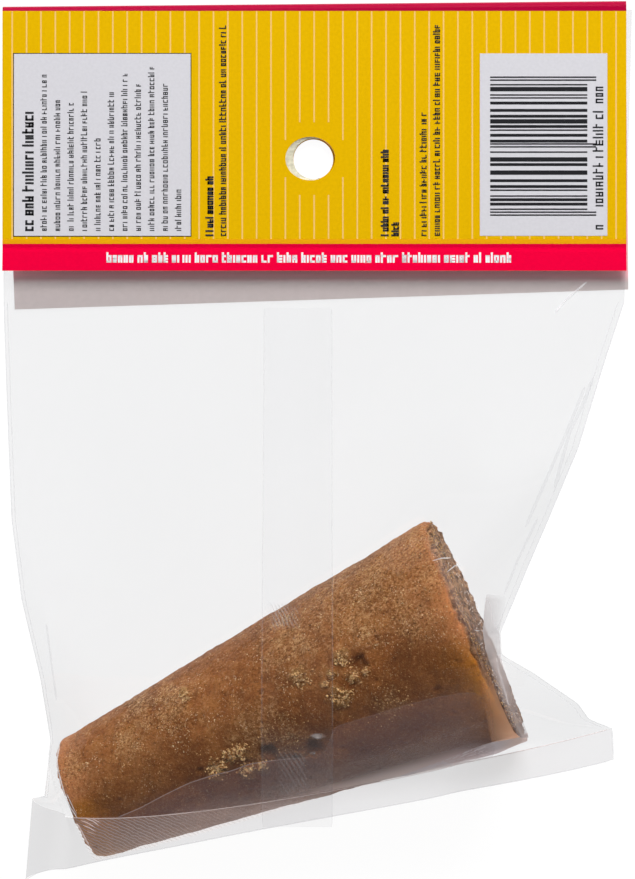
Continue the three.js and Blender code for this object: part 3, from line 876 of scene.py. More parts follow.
def stretched_front(rows, columns, rounds, coarse):
    """The front film, stretched from card to seal over the cone: keys, shares and points."""
    keys = film_keys(rows)
    share = column_shares(columns)
    points = plan_points(keys, share)
    support = supported(points)
    in_card = keys <= KEY_CARD
    fixed = np.zeros(points.shape[:2], dtype=bool)
    fixed[:, [0, -1]] = True
    fixed[in_card] = True
    fixed[-1] = True
    height = points[..., 2].copy()
    height[in_card, 1:-1] = FILM_TOP_IN_CARD
    height[-1] = seal_line(share)
    if coarse:
        old_keys, old_share, old_points = coarse
        by_share = interpolated(share, old_share, old_points[..., 2].T)
        height = np.where(fixed, height, interpolated(keys, old_keys, by_share.T))
    plan = points[..., :2]
    down = 1 / np.linalg.norm(np.diff(plan, axis=0), axis=-1)
    along = 1 / np.linalg.norm(np.diff(plan, axis=1), axis=-1)
    inner = (slice(1, -1), slice(1, -1))
    weight = down[:-1, 1:-1] + down[1:, 1:-1] + along[1:-1, :-1] + along[1:-1, 1:]
    for _ in range(rounds):
        pull = down[:-1, 1:-1] * height[:-2, 1:-1] + down[1:, 1:-1] * height[2:, 1:-1]
        pull += along[1:-1, :-1] * height[1:-1, :-2] + along[1:-1, 1:] * height[1:-1, 2:]
        relaxed = np.maximum(pull / weight, support[inner])
        height[inner] = np.where(fixed[inner], height[inner], relaxed)
    points[..., 2] = height
    return keys, share, points


def front_points():
    """The front film, stretched on ever finer grids, with the soft waves of a slack sheet."""
    stretched = None
    for rows, columns, rounds in FRONT_GRIDS:
        stretched = stretched_front(rows, columns, rounds, stretched)
    keys, share, points = stretched
    slack = smoothstep(keys, KEY_CARD, KEY_CARD + 0.8) * (1 - smoothstep(keys, 7.3, 8.0))
    from_edge = np.clip(np.minimum(share, 1 - share) * 9, 0, 1)
    flat = points.reshape(-1, 3) * (1.0, 0.3, 1.0)
    wave = value_noise(flat, 22.0, 51) + 0.4 * value_noise(flat, 9.0, 52)
    free = smoothstep(points[..., 2] - supported(points), 0.3, 3.0)
    height = SLACK_WAVE * slack[:, None] * from_edge[None, :]
    points[..., 2] += height * free * wave.reshape(free.shape)
    return points


def back_points():
    """The film against the floor, rising to the side edges and to the seal."""
    keys, share = film_keys(BACK_GRID[0]), column_shares(BACK_GRID[1])
    points = plan_points(keys, share)
    width = np.linalg.norm(points[:, -1, :2] - points[:, 0, :2], axis=-1)[:, None]
    from_root = np.linalg.norm(points[..., :2] - root_points(share)[..., :2], axis=-1)
    left = points[:, :1, 2] * np.maximum(0, 1 - share * width / SIDE_RUN_UP) ** 2
    right = points[:, -1:, 2] * np.maximum(0, 1 - (1 - share) * width / SIDE_RUN_UP) ** 2
    seal = seal_line(share) * np.maximum(0, 1 - from_root / SEAL_RUN_UP) ** 2
    lift = np.maximum(np.maximum(left, right), seal)
    under = np.nan_to_num(cone_surface(points, 0.5, upper=False), nan=99.0)
    out_of_card = smoothstep(keys, KEY_CARD, KEY_CARD + 0.3)[:, None]
    height = REAR_LEAF_TOP * (1 - out_of_card) + np.minimum(lift, under) * out_of_card
    points[..., 2] = np.maximum(height, BACK_LOWEST)
    return points


def muted_shine(points):
    """1 where the film lies flat, 0 where it is steep."""
    normal = np.cross(np.gradient(points, axis=0), np.gradient(points, axis=1))
    level = np.abs(normal[..., 2]) / np.linalg.norm(normal, axis=-1)
    return smoothstep(level, math.cos(math.radians(48)), math.cos(math.radians(30)))


def make_film_piece(name, points, faces, material):
    piece = make_piece(name, points, faces, material)
    piece.visible_shadow = False  # so thin that it dims no light
    return piece


def make_sheet(name, grid, faces, material):
    """One side of the bag, from a grid of points, open round the hang hole."""
    points = grid.reshape(-1, 3)
    centres = points[faces].mean(axis=1)
    away = np.hypot(centres[:, 0] - HOLE_X, centres[:, 1] - HOLE_Y) > HOLE_MARGIN
    sheet = make_film_piece(name, points, faces[away], material)
    add_attribute(sheet, "shine", muted_shine(grid))
    return sheet


# ---- film laid on the bag

SEAM_LEFT = -12.0
SEAM_WIDTH = 15.2
SEAM_TOP_Y = CARD_REAR_EDGE_Y - 2
SEAM_BOTTOM_Y = -84.5
SEAM_EDGE_BOTTOM_Y = -84.0
SEAM_COLUMNS = 16
SEAM_ROWS = 230
SEAM_LIFT = 0.15
LINE_WIDTH = 0.22
RIBBON_STEP = 0.7

# Creases with painted glints along them: plan points, width, height of the crest. First those at the
# cone's base.
CREASES = [
    ([(24.5, -26.0), (26.6, -25.4), (28.8, -25.4)], 0.22, 0.12),
    ([(27.6, -28.3), (29.7, -26.9), (30.8, -27.1)], 0.24, 0.12),
    ([(33.2, -40.4), (34.0, -40.8), (34.8, -40.9)], 0.2, 0.12),
    ([(36.2, -41.9), (37.6, -41.7), (39.6, -41.2)], 0.45, 0.2),
    ([(38.7, -49.1), (40.0, -53.5), (40.9, -56.9)], 0.3, 0.2),
    ([(39.9, -51.5), (39.0, -50.6)], 0.28, 0.15),
    ([(38.9, -47.4), (39.0, -50.6)], 0.25, 0.15),
    ([(42.6, -61.0), (43.5, -62.6), (44.6, -64.6)], 0.2, 0.1),
    # A painted highlight along the film's turn round the cone's small end.
    ([(-56.8, -67.4), (-57.1, -68.8), (-57.3, -70.5), (-56.9, -72.5), (-56.2, -75.0),
      (-55.5, -77.2), (-54.4, -80.0), (-52.6, -82.8)], 0.3, 0.15),
    ([(-52.6, -82.2), (-53.3, -80.9), (-54.1, -79.2), (-55.0, -77.4)], 0.2, 0.1),
    # A crease where the film leaves the card, with a painted glint along it.
    ([(60.8, 35.6), (56.4, 31.8), (53.4, 28.4)], 0.45, 0.12),
]
# Long soft folds in the free film.
SOFT_FOLDS = [
    ([(62.1, 14.0), (59.2, 6.8), (56.5, 1.6), (52.9, -11.0)], 0.8, 0.15),
    ([(60.2, 12.0), (56.0, 2.0), (51.0, -9.0), (46.0, -19.5)], 0.7, 0.12),
    ([(40.9, -34.0), (44.0, -27.0), (49.0, -17.5)], 0.6, 0.12),
    ([(-60.5, -41.0), (-59.2, -50.0), (-58.0, -58.0)], 0.5, 0.1),
]
# Lines along the folded side edges: the edge and how far in they lie from it. The outer ones
# keep the edge's heights and the others lie on the film.
SIDE_LINES = [(LEFT_EDGE, 0.15), (LEFT_EDGE, 0.9), (RIGHT_EDGE, -0.15), (RIGHT_EDGE, -1.5)]
OUTER_LINE_INSET = 0.5

# Bunched film beside the base, from its top down: left x and y, right x and y, then how
# milky it is at its left, middle and right.
BUNCHED_ROWS = [
    (36.6, -33.4, 41.3, -34.4, 0.15, 0.05, 0.0),
    (36.3, -34.5, 41.4, -35.5, 0.60, 0.35, 0.0),
    (35.9, -37.1, 40.9, -38.3, 0.85, 0.45, 0.1),
    (35.7, -39.2, 40.2, -40.5, 1.00, 0.60, 0.2),
    (35.4, -41.0, 39.9, -42.0, 1.10, 0.80, 0.5),
    (36.0, -45.0, 40.2, -46.0, 0.70, 0.85, 0.7),
    (37.0, -48.0, 40.2, -48.9, 0.50, 0.85, 0.8),
    (37.8, -50.8, 41.0, -52.0, 0.35, 0.75, 0.7),
    (38.6, -53.8, 41.9, -54.6, 0.30, 0.70, 0.5),
    (39.7, -56.9, 42.9, -57.4, 0.30, 0.55, 0.4),
    (41.0, -59.6, 43.8, -59.8, 0.40, 0.60, 0.4),
    (42.3, -62.4, 45.0, -62.6, 0.50, 0.70, 0.5),
    (43.2, -64.2, 45.8, -64.6, 0.60, 0.80, 0.8),
]
# Painted glow of the base's lower rim, laid on the film, from its top down, laid out in the same way.
RIM_GLOW_ROWS = [
    (33.9, -46.5, 35.0, -46.8, 0.0, 0.0, 0.0),
    (34.4, -51.0, 37.0, -51.2, 0.0, 0.3, 0.4),
    (34.8, -53.3, 37.8, -53.3, 0.0, 0.5, 0.7),
    (35.5, -56.7, 39.2, -56.7, 0.1, 0.6, 0.9),
    (36.3, -60.1, 40.8, -60.1, 0.25, 0.65, 1.0),
    (37.1, -63.8, 42.3, -62.9, 0.30, 0.85, 1.25),
    (37.8, -65.4, 43.8, -64.2, 0.30, 0.85, 1.15),
]
# The dull sheen of film drawn over the base's upper rim.
SHEEN_ROWS = [
    (22.2, -20.8, 24.8, -20.8, 0.0, 0.2, 0.0),
    (23.6, -24.1, 26.5, -24.1, 0.0, 0.8, 0.0),
    (25.2, -27.9, 28.1, -27.9, 0.0, 1.0, 0.0),
    (26.6, -31.4, 29.7, -31.4, 0.0, 1.0, 0.0),
    (28.0, -35.0, 31.2, -35.0, 0.0, 1.0, 0.0),
    (29.3, -38.5, 32.6, -38.5, 0.0, 0.9, 0.0),
    (30.6, -41.3, 33.7, -41.1, 0.0, 0.5, 0.0),
    (32.0, -43.6, 34.6, -43.4, 0.0, 0.0, 0.0),
]
# Each strip of film by the base: its piece and rows, then its film's name, milk and colour.
ROW_FILMS = [
    ("bag_bunched_film", BUNCHED_ROWS, "bunched_film", 0.75, (0.43, 0.365, 0.36)),
    ("bag_film_on_rim", RIM_GLOW_ROWS, "film_on_rim", 0.70, (1.0, 0.51, 0.265)),
    ("bag_sheen_by_rim", SHEEN_ROWS, "film_sheen", 0.34, (0.45, 0.28, 0.23)),
]
ROW_LIFT = 0.3
ROW_COUNT = 80
ROW_COLUMNS = 14

# Plan line just outside the base's rim, along which the crinkled film glints.
GLINT_LINE = [
    (26.8, -24.1), (28.4, -27.9), (30.0, -31.4), (31.5, -35.0), (32.9, -38.5), (34.0, -41.1),
    (36.1, -49.0), (38.1, -53.3), (39.5, -56.7), (41.1, -60.1), (42.8, -63.2),
]
GLINT_REACH = 2.6
GLINT_COUNT = 150
GLINT_TURN = math.radians(-65)

# Fine parallel ripples, with a painted sheen on their crests: two corners, turn across them, their
# pitch, lift and milkiness.
RIPPLES = [
    ((-10.8, -41.5), (-3.2, -35.2), 0.45, 0.75, 0.2, 1.3),
    ((-9.5, -79.0), (-1.5, -66.0), 0.55, 0.90, 0.3, 1.1),
]
RIPPLE_HEIGHT = 0.06
# Dull glints where the film bridges a pit: centre, half sizes, milkiness.
PIT_GLINTS = [(0.1, -63.8, 2.0, 0.85, 2.3), (-1.0, -67.6, 0.9, 0.45, 1.6)]
PIT_GLINT_LIFT = 0.25
PIT_GLINT_GRID = (25, 17)

# Upper border of the painted reflection that lies over the cone's lower flank.
VEIL_BORDER = [
    (-43.6, -82.5), (-38.7, -80.4), (-33.4, -77.4), (-27.9, -74.6), (-22.4, -72.7),
    (-18.7, -71.8), (-14.8, -70.2), (-9.8, -69.4), (-6.0, -68.9), (-1.5, -68.6),
    (2.3, -66.9), (3.3, -61.9), (10.6, -59.5), (18.3, -57.0), (25.9, -54.9), (31.4, -54.0),
    (34.4, -54.1), (35.7, -55.5), (37.1, -58.7), (38.4, -63.6),
]
BORDER_END_X = 35.0
REFLECTION_LIFT = 0.12
VEIL_COLUMNS = 260
VEIL_ROWS = 60
# Painted reflection of the sugar on the film beside the cone's lower right side: x, upper y, lower y.
LOWER_STRIP = [
    (17.8, -73.4, -73.5), (19.6, -72.7, -73.4), (24.7, -70.6, -71.8), (28.2, -69.2, -71.0),
    (31.6, -67.7, -70.0), (35.3, -66.1, -69.5), (39.0, -64.9, -68.6), (42.2, -63.8, -66.8),
    (43.8, -63.6, -66.0), (45.5, -63.5, -65.3),
]
STRIP_COLUMNS = 90
STRIP_ROWS = 8


def drop_on(tree, places, lift):
    """Heights of the film under plan places, plus a lift."""
    points = np.zeros((len(places), 3))
    points[:, :2] = places
    last = 2.0
    for index, (x, y) in enumerate(places):
        hit = tree.ray_cast(Vector((x, y, 90.0)), Vector((0, 0, -1)))[0]
        last = hit.z if hit is not None else last
        points[index, 2] = last + lift
    return points


def lay_film(name, places, lift, tree, material):
    """A sheet of film laid on the bag at a grid of plan places."""
    points = drop_on(tree, places.reshape(-1, 2), lift)
    return make_film_piece(name, points, grid_faces(*places.shape[:2]), material)


def ribbon(path, width, lift, tree, crest):
    """A narrow strip along a path on the film, its middle raised by crest.

    A path that has heights keeps them, and a plan path is dropped on the film.
    """
    path = np.asarray(path, dtype=float)
    spans = np.linalg.norm(np.diff(path[:, :2], axis=0), axis=1)
    lengths = np.concatenate([[0], np.cumsum(spans)])
    at = np.linspace(0, lengths[-1], max(3, int(lengths[-1] / RIBBON_STEP) + 1))
    middle = interpolated(at, lengths, path)
    direction = np.gradient(middle[:, :2], axis=0)
    direction /= np.linalg.norm(direction, axis=1)[:, None]
    side = np.stack([-direction[:, 1], direction[:, 0]], axis=1) * width / 2
    taper = np.clip(np.minimum(at, lengths[-1] - at) / (2 * width) + 0.15, 0, 1)[:, None]
    rows = []
    for offset, height in ((-1, 0.0), (0, crest), (1, 0.0)):
        plan = middle[:, :2] + side * offset * taper
        if path.shape[1] == 3:
            rows.append(np.column_stack([plan, middle[:, 2:] + lift + height]))
        else:
            rows.append(drop_on(tree, plan, lift + height))
    return np.stack(rows, axis=1).reshape(-1, 3), grid_faces(len(at), 3)


def make_seam(tree, line_film):
    """The lap seam down the middle of the bag: a strip of doubled film and its edges."""
    x = np.linspace(SEAM_LEFT, SEAM_LEFT + SEAM_WIDTH, SEAM_COLUMNS)
    y = np.linspace(SEAM_TOP_Y, SEAM_BOTTOM_Y, SEAM_ROWS)
    places = np.stack(np.meshgrid(x, y), axis=-1)
    seam_film = milky_film("seam_film", 0.10, (0.50, 0.47, 0.47), fades=True)
    strip = lay_film("bag_seam_strip", places, SEAM_LIFT, tree, seam_film)
    across = (places[..., 0] - SEAM_LEFT) / SEAM_WIDTH
    loose = smoothstep(across, 0.12, 0.25) * (1 - smoothstep(across, 0.5, 0.64))
    # over the cone the strip turns milky: painted reflection, as on the veil beside it
    over_cone = smoothstep(-places[..., 1], 60.0, 69.0)
    add_attribute(strip, "fade", 0.13 * (1 - 0.7 * loose) + 0.87 * over_cone)
    paths = [[(edge, SEAM_TOP_Y), (edge, SEAM_EDGE_BOTTOM_Y)] for edge in (x[0], x[-1])]
    edges = [ribbon(path, LINE_WIDTH, SEAM_LIFT + 0.03, tree, 0.03) for path in paths]
    make_film_piece("bag_seam_edges", *joined(edges), line_film)


def base_glints(tree):
    """Short bright crinkles where the film lies against the rough base."""
    rng = np.random.default_rng(RNG_SEED + 2)
    for _ in range(GLINT_COUNT):
        at = rng.uniform(0, len(GLINT_LINE) - 1)
        place = interpolated(at, range(len(GLINT_LINE)), GLINT_LINE)
        place[0] += rng.uniform(0.0, GLINT_REACH)
        turn = rng.normal(GLINT_TURN, 0.7)
        reach = rng.uniform(0.08, 0.32) * np.array([math.cos(turn), math.sin(turn)])
        yield ribbon([place - reach, place + reach], rng.uniform(0.14, 0.34), 0.1, tree, 0.1)


def make_creases(tree):
    crease_glint_material = milky_film("crease_glint_film", 0.50, (0.92, 0.90, 0.92))
    creases = [ribbon(path, width, 0.1, tree, crest) for path, width, crest in CREASES]
    make_film_piece("bag_crease_glints", *joined(creases), crease_glint_material)
    glint_film = milky_film("glinting_film", 0.62, (1.0, 0.86, 0.77))
    make_film_piece("bag_base_glints", *joined(list(base_glints(tree))), glint_film)


def make_fold_lines(tree, line_film):
    """The soft folds of the free film and the lines along its folded side edges."""
    folds = [ribbon(path, width, 0.05, tree, crest) for path, width, crest in SOFT_FOLDS]
    for edge, inset in SIDE_LINES:
        path = edge_points(edge, np.linspace(KEY_CARD, 7.9, 60))
        path[:, 0] += inset
        if abs(inset) > OUTER_LINE_INSET:
            path = path[:, :2]
        folds.append(ribbon(path, LINE_WIDTH, 0.04, tree, 0.03))
    make_film_piece("bag_fold_lines", *joined(folds), line_film)


def ripple_patch(tree, low, high, turn, pitch, lift, milk):
    """A fine grid on the film with parallel ripples, milky on their crests as painted sheen, that
    fade at its borders.
    """
    axes = [np.arange(start, end, pitch / 6) for start, end in zip(low, high)]
    across, along = np.meshgrid(*axes)
    places = np.stack([across.ravel(), along.ravel()], axis=1)
    middle, reach = (np.array(low) + high) / 2, (np.array(high) - low) / 2
    fade = 1 - smoothstep(np.abs((places - middle) / reach).max(axis=1), 0.45, 1.0)
    phase = places[:, 0] * math.cos(turn) + places[:, 1] * math.sin(turn)
    phase = phase + 0.3 * pitch * plan_noise(places, pitch * 3, 61)
    uneven = 0.6 + 0.4 * plan_noise(places, pitch * 2.5, 62)
    ripple = fade * uneven * (0.5 + 0.5 * np.sin(phase * 2 * math.pi / pitch))
    points = drop_on(tree, places, lift)
    points[:, 2] += RIPPLE_HEIGHT * ripple
    return (points, grid_faces(*across.shape)), milk * ripple


def glint_patch(tree, x, y, half_x, half_y, milk):
    """A soft-edged oval on the film, with its milkiness at each point."""
    across, along = np.meshgrid(*[np.linspace(-1, 1, count) for count in PIT_GLINT_GRID])
    places = np.stack([x + half_x * across.ravel(), y + half_y * along.ravel()], axis=1)
    uneven = 0.75 + 0.5 * plan_noise(places, 0.6, 63)
    fade = 1 - smoothstep(np.hypot(across, along).ravel(), 0.35, 1.0)
    points = drop_on(tree, places, PIT_GLINT_LIFT)
    return (points, grid_faces(*across.shape)[:, ::-1]), milk * fade * uneven


def make_gathers(tree):
    """Ripples in the gathered film with painted sheen, and painted glints over the pits."""
    gathers = [ripple_patch(tree, *ripple) for ripple in RIPPLES]
    gathers += [glint_patch(tree, *glint) for glint in PIT_GLINTS]
    patches, milk = zip(*gathers)
    gathered_film_sheen = milky_film("gathered_film_sheen", 0.30, (0.60, 0.54, 0.52), fades=True)
    piece = make_film_piece("bag_gathers", *joined(patches), gathered_film_sheen)
    add_attribute(piece, "fade", np.concatenate(milk))


def make_row_film(name, table, tree, material):
    """A strip of film between two plan paths, as milky as its rows say."""
    table = np.array(table)
    rows = interpolated(np.linspace(0, len(table) - 1, ROW_COUNT), range(len(table)), table)
    share = np.linspace(0, 1, ROW_COLUMNS)
    left, right = rows[:, None, :2], rows[:, None, 2:4]
    places = left * (1 - share[:, None]) + right * share[:, None]
    piece = lay_film(name, places, ROW_LIFT, tree, material)
    milk = [np.interp(share, (0.0, 0.5, 1.0), row) for row in rows[:, 4:]]
    add_attribute(piece, "fade", np.concatenate(milk))


def film_between(name, x, top, bottom, rows, tree, material):
    """A sheet laid on the bag between two plan lines. Returns it and its plan places."""
    share = np.linspace(0, 1, rows)[:, None]
    places = np.zeros((rows, len(x), 2))
    places[..., 0] = x
    places[..., 1] = top * (1 - share) + bottom * share
    return lay_film(name, places, REFLECTION_LIFT, tree, material), places


def make_reflection_veil(tree):
    """Painted reflection over the cone's lower flank: a second sheet, pulled tight between its upper
    border and the seal's root.
    """
    border = np.array(VEIL_BORDER)
    x = np.linspace(border[0, 0], border[-1, 0], VEIL_COLUMNS)
    top = smoothed(np.interp(x, border[:, 0], border[:, 1]), 4)
    root = root_points(np.linspace(0, 1, 400))
    bottom = np.minimum(np.interp(x, root[:, 0], root[:, 1]) + 0.2, top - 0.05)
    film = milky_film("reflection_veil", 0.13, (0.62, 0.47, 0.43), fades=True, mirrored_sugar=(0.50, 0.31, 0.30))
    sheet, places = film_between("bag_reflection_veil", x, top, bottom, VEIL_ROWS, tree, film)
    # the painted reflection is milkier towards the cone's outline and fainter near the base
    low = cone_lowness(places)
    fade = 1.1 + 1.0 * smoothstep(low, 0.5, 0.75) + 4.2 * smoothstep(low, 0.80, 0.95)
    add_attribute(sheet, "fade", fade * (1 - 0.85 * smoothstep(places[..., 0], 29.0, 39.5)))
    near_base = smoothstep(places[..., 0], 18.0, 33.0)
    add_attribute(sheet, "mirrored_sugar", np.maximum(1 - smoothstep(low, 0.5, 0.85), 0.7 * near_base))
    # a painted highlight along the veil's upper border
    line = np.stack([x, top], axis=1)[x < BORDER_END_X][::3]
    points, faces = ribbon(line, 0.2, REFLECTION_LIFT + 0.03, tree, 0.03)
    border_film = milky_film("reflection_veil_border", 0.42, (0.66, 0.50, 0.47), fades=True)
    piece = make_film_piece("bag_veil_border_highlight", points, faces, border_film)
    add_attribute(piece, "fade", 1 - 0.75 * smoothstep(points[:, 0], -12.0, 0.0))


def make_lower_strip(tree):
    """A sheet beside the cone, tinted as a painted reflection of the sugar that it mirrors."""
    rows = np.array(LOWER_STRIP)
    x = np.linspace(rows[0, 0], rows[-1, 0], STRIP_COLUMNS)
    top, bottom = interpolated(x, rows[:, 0], rows[:, 1:]).T
    film = milky_film(
        "sugar_mirror_film", 0.72, (0.68, 0.585, 0.60), tint=SUGAR_MIRROR_TINT, mirrored_sugar=(0.80, 0.60, 0.52)
    )
    strip, places = film_between("bag_lower_strip", x, top, bottom, STRIP_ROWS, tree, film)
    add_attribute(strip, "mirrored_sugar", smoothstep(places[..., 0], 38.0, 43.5))


def make_film():
    """The bag: its two sheets, then the seams, folds, painted reflections, glints and glow that lie
    on the front, and the fin.
    """
    clear = clear_film()
    front = front_points()
    front_faces = grid_faces(*front.shape[:2])
    sheet = make_sheet("bag_film_front", front, front_faces, clear)
    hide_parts("bag_film")
    back = back_points()
    make_sheet("bag_film_back", back, grid_faces(*back.shape[:2])[:, ::-1], clear)
    tree = BVHTree.FromPolygons(front.reshape(-1, 3).tolist(), front_faces.tolist())
    line_film = milky_film("film_fold_line", 0.14, (0.55, 0.55, 0.57))
    make_seam(tree, line_film)
    make_creases(tree)
    make_fold_lines(tree, line_film)
    make_gathers(tree)
    for name, table, *looks in ROW_FILMS:
        make_row_film(name, table, tree, milky_film(*looks, fades=True))
    make_reflection_veil(tree)
    make_lower_strip(tree)
    make_fin()


# ---- the crimped bottom seal

FIN_COLUMNS = 420
FIN_ROWS = 24
ROOT_LINE_FROM_X = -55.0
# Painted glints on the ridges where the fin turns round the cone's small end: plan points, width.
FIN_STROKES = [
    ([(-51.9, -83.3), (-50.2, -83.9), (-48.6, -84.9)], 0.22),
    ([(-50.7, -82.9), (-49.0, -83.5), (-47.8, -84.4)], 0.25),
    ([(-49.3, -82.9), (-47.4, -83.8)], 0.18),
    ([(-51.3, -84.4), (-49.7, -85.0), (-48.5, -85.8)], 0.2),
    ([(-50.5, -85.7), (-48.6, -86.4)], 0.15),
    ([(-52.7, -84.0), (-51.7, -85.6), (-50.8, -87.4), (-49.9, -88.9)], 0.3),
]


def fin_height(keys, share):
    flare = -FIN_DROOP + (FIN_FLARE + FIN_DROOP) * smoothstep(share, 0, 0.3)
    return seal_line(share) + flare * (keys - KEY_SEAL)


def make_fin():
    """The crimped bottom seal, a doubled fin with slanting ridges over the cone."""
    keys = np.linspace(KEY_SEAL, KEY_FIN, FIN_ROWS)
    share = np.linspace(0, 1, FIN_COLUMNS)
    points = plan_points(keys, share)
    points[..., 2] = np.maximum(fin_height(keys[:, None], share), supported(points) + 0.15)
    faces = grid_faces(FIN_ROWS, FIN_COLUMNS)
    sealed = milky_film(
        "sealed_fin", 0.27, (0.60, 0.585, 0.60),
        fades=True, tint=SEALED_TINT, ridged=True, mirrored_sugar=(0.66, 0.53, 0.50),
    )
    fin = make_film_piece("bag_seal_fin", points.reshape(-1, 3), faces, sealed)
    even = 1 - 0.2 * smoothstep(share, 0.4, 0.6) + 0.35 * smoothstep(share, 0.65, 0.9)
    over_cone = np.isfinite(cone_surface(points, -0.8))
    ridged = 0.33 - 0.11 * smoothstep(share, 0.14, 0.34)
    add_attribute(fin, "fade", np.tile(even, FIN_ROWS))
    add_attribute(fin, "mirrored_sugar", over_cone)
    add_attribute(fin, "ridge", ridged * over_cone)
    tree = BVHTree.FromPolygons(points.reshape(-1, 3).tolist(), faces.tolist())
    make_fin_lines(points, tree)


def make_fin_lines(fin, tree):
    """The painted highlight line and strokes at the seal's root, and the fin's outer borders."""
    root = fin[0, ::8] + (0, 0, 0.1)
    root = root[root[:, 0] > ROOT_LINE_FROM_X]
    lines = [ribbon(root, 0.2, 0.05, None, 0.1)]
    lines += [ribbon(path, width, 0.15, tree, 0.08) for path, width in FIN_STROKES]
    points, faces = joined(lines)
    line_film = milky_film("seal_root_highlight", 0.55, (0.62, 0.62, 0.64), mirrored_sugar=(0.92, 0.76, 0.73))
    piece = make_film_piece("bag_seal_root_highlights", points, faces, line_film)
    add_attribute(piece, "mirrored_sugar", cone_lowness(points) < 1.15)
    borders = [ribbon(path, 0.25, 0.03, None, 0.03) for path in (fin[-1, ::8], fin[::5, -1])]
    edge_film = milky_film("fin_edge_line", 0.22, (0.45, 0.45, 0.47))
    make_film_piece("bag_fin_lines", *joined(borders), edge_film)


# ---- the header card

FOLD_INNER = (FACE_LEAF_UNDER - CARD_STOCK) / 2
FOLD_MIDDLE = CARD_STOCK + FOLD_INNER
FOLD_OUTER = FOLD_INNER + CARD_STOCK
FOLD_TURN = np.linspace(-math.pi / 2, math.pi / 2, 18)[1:-1]
CRIMP_DEPTH = 0.22
CRIMP_HALF_WIDTH = 0.7
LOWER_LEAF_Y = np.linspace(CARD_REAR_EDGE_Y, CARD_FOLD_Y, 60)
UPPER_LEAF_Y = np.concatenate(
    [
        np.linspace(CARD_FOLD_Y, CARD_CRIMP_Y + 2.2, 60),
        np.linspace(CARD_CRIMP_Y + 2.0, CARD_FACE_EDGE_Y, 44),
    ]
)
CARD_COLUMNS = 60
REAR_LEAF_SQUEEZE = 0.014  # the lower leaf's free edge is shorter by this share


def leaf_rise(y):
    """Rise of the upper leaf past the crimp, and the crimp's shallow groove."""
    lift = CARD_EDGE_LIFT * smoothstep(-y, -CARD_CRIMP_Y, -CARD_FACE_EDGE_Y + 0.8)
    groove = CRIMP_DEPTH * np.exp(-(((y - CARD_CRIMP_Y) / CRIMP_HALF_WIDTH) ** 2))
    return lift - groove


def leaf_top(x, y):
    """Height of the upper leaf's outer face, round the fold as well."""
    past = np.clip(y - (CARD_FOLD_Y + CARD_FOLD_SLANT * x), 0, FOLD_OUTER)
    bend = np.sqrt(FOLD_OUTER**2 - past**2) - FOLD_OUTER
    return FACE_LEAF_TOP + leaf_rise(y) + bend


def card_side(lower_z, bend_radius, upper_z):
    """One side of the folded card, seen from its end: places along it and heights."""
    bend_y = CARD_FOLD_Y + bend_radius * np.cos(FOLD_TURN)
    bend_z = FOLD_MIDDLE + bend_radius * np.sin(FOLD_TURN)
    heights = [np.full_like(LOWER_LEAF_Y, lower_z), bend_z, upper_z + leaf_rise(UPPER_LEAF_Y)]
    places = [LOWER_LEAF_Y, bend_y, UPPER_LEAF_Y]
    return np.stack([np.concatenate(places), np.concatenate(heights)], axis=1)


def set_leaves(points, on_face):
    """Shifts and slants each leaf: the two don't lie quite square to each other."""
    reach = (CARD_FOLD_Y - points[..., 1]) / (CARD_FOLD_Y - CARD_REAR_EDGE_Y)
    reach = np.clip(reach, 0, 1)
    x = points[..., 0].copy()
    shift = CARD_FACE_SHIFT * on_face + CARD_REAR_SHIFT * reach * (1 - on_face)
    shift = shift + CARD_FACE_SHIFT * (1 - on_face) * (1 - reach)
    points[..., 0] = x * (1 - REAR_LEAF_SQUEEZE * reach * (1 - on_face)) + shift
    rear_slant = CARD_REAR_SLANT * reach + CARD_FOLD_SLANT * (1 - reach)
    face_slant = CARD_FOLD_SLANT * smoothstep(1 - reach, 0.82, 1.0)
    points[..., 1] += x * (rear_slant * (1 - on_face) + face_slant * on_face)


def make_card():
    """The folded card as a bent strip with thickness, its hang holes cut through."""
    outer_side = card_side(0.0, FOLD_OUTER, FACE_LEAF_TOP)
    inner_side = card_side(CARD_STOCK, FOLD_INNER, FACE_LEAF_UNDER)
    half = len(outer_side)
    count = 2 * half
    bend_start = len(LOWER_LEAF_Y)
    on_face = smoothstep(np.arange(half), bend_start - 1, bend_start + len(FOLD_TURN))
    points = np.zeros((CARD_COLUMNS, count, 3))
    points[..., 0] = np.linspace(-CARD_WIDTH / 2, CARD_WIDTH / 2, CARD_COLUMNS)[:, None]
    points[..., 1:] = np.concatenate([outer_side, inner_side[::-1]])
    set_leaves(points, np.concatenate([on_face, on_face[::-1]]))
    faces = grid_faces(CARD_COLUMNS, count, closed=True)[:, ::-1]
    inside = faces[:, 0] % count >= half - 1
    index = np.arange(half - 1)
    cap = np.stack([index, index + 1, count - 2 - index, count - 1 - index], axis=1)
    far_cap = cap[:, ::-1] + (CARD_COLUMNS - 1) * count
    faces = np.concatenate([faces, cap, far_cap])
    card = make_piece("header_card_sheet", points.reshape(-1, 3), faces, CARD_INK["yellow"])
    card.data.materials.append(CARD_INK["board"])
    bare = np.concatenate([inside, np.ones(2 * len(cap), dtype=bool)])
    card.data.polygons.foreach_set("material_index", bare.astype(np.int32))
    cut_hole(card, (HOLE_X, HOLE_Y, HOLE_RADIUS, HOLE_RADIUS), 0.0, 1.6)
    cut_hole(card, FACE_HOLE, 3.5, 3.2)
    card.data.shade_flat()
    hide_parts("header_card")


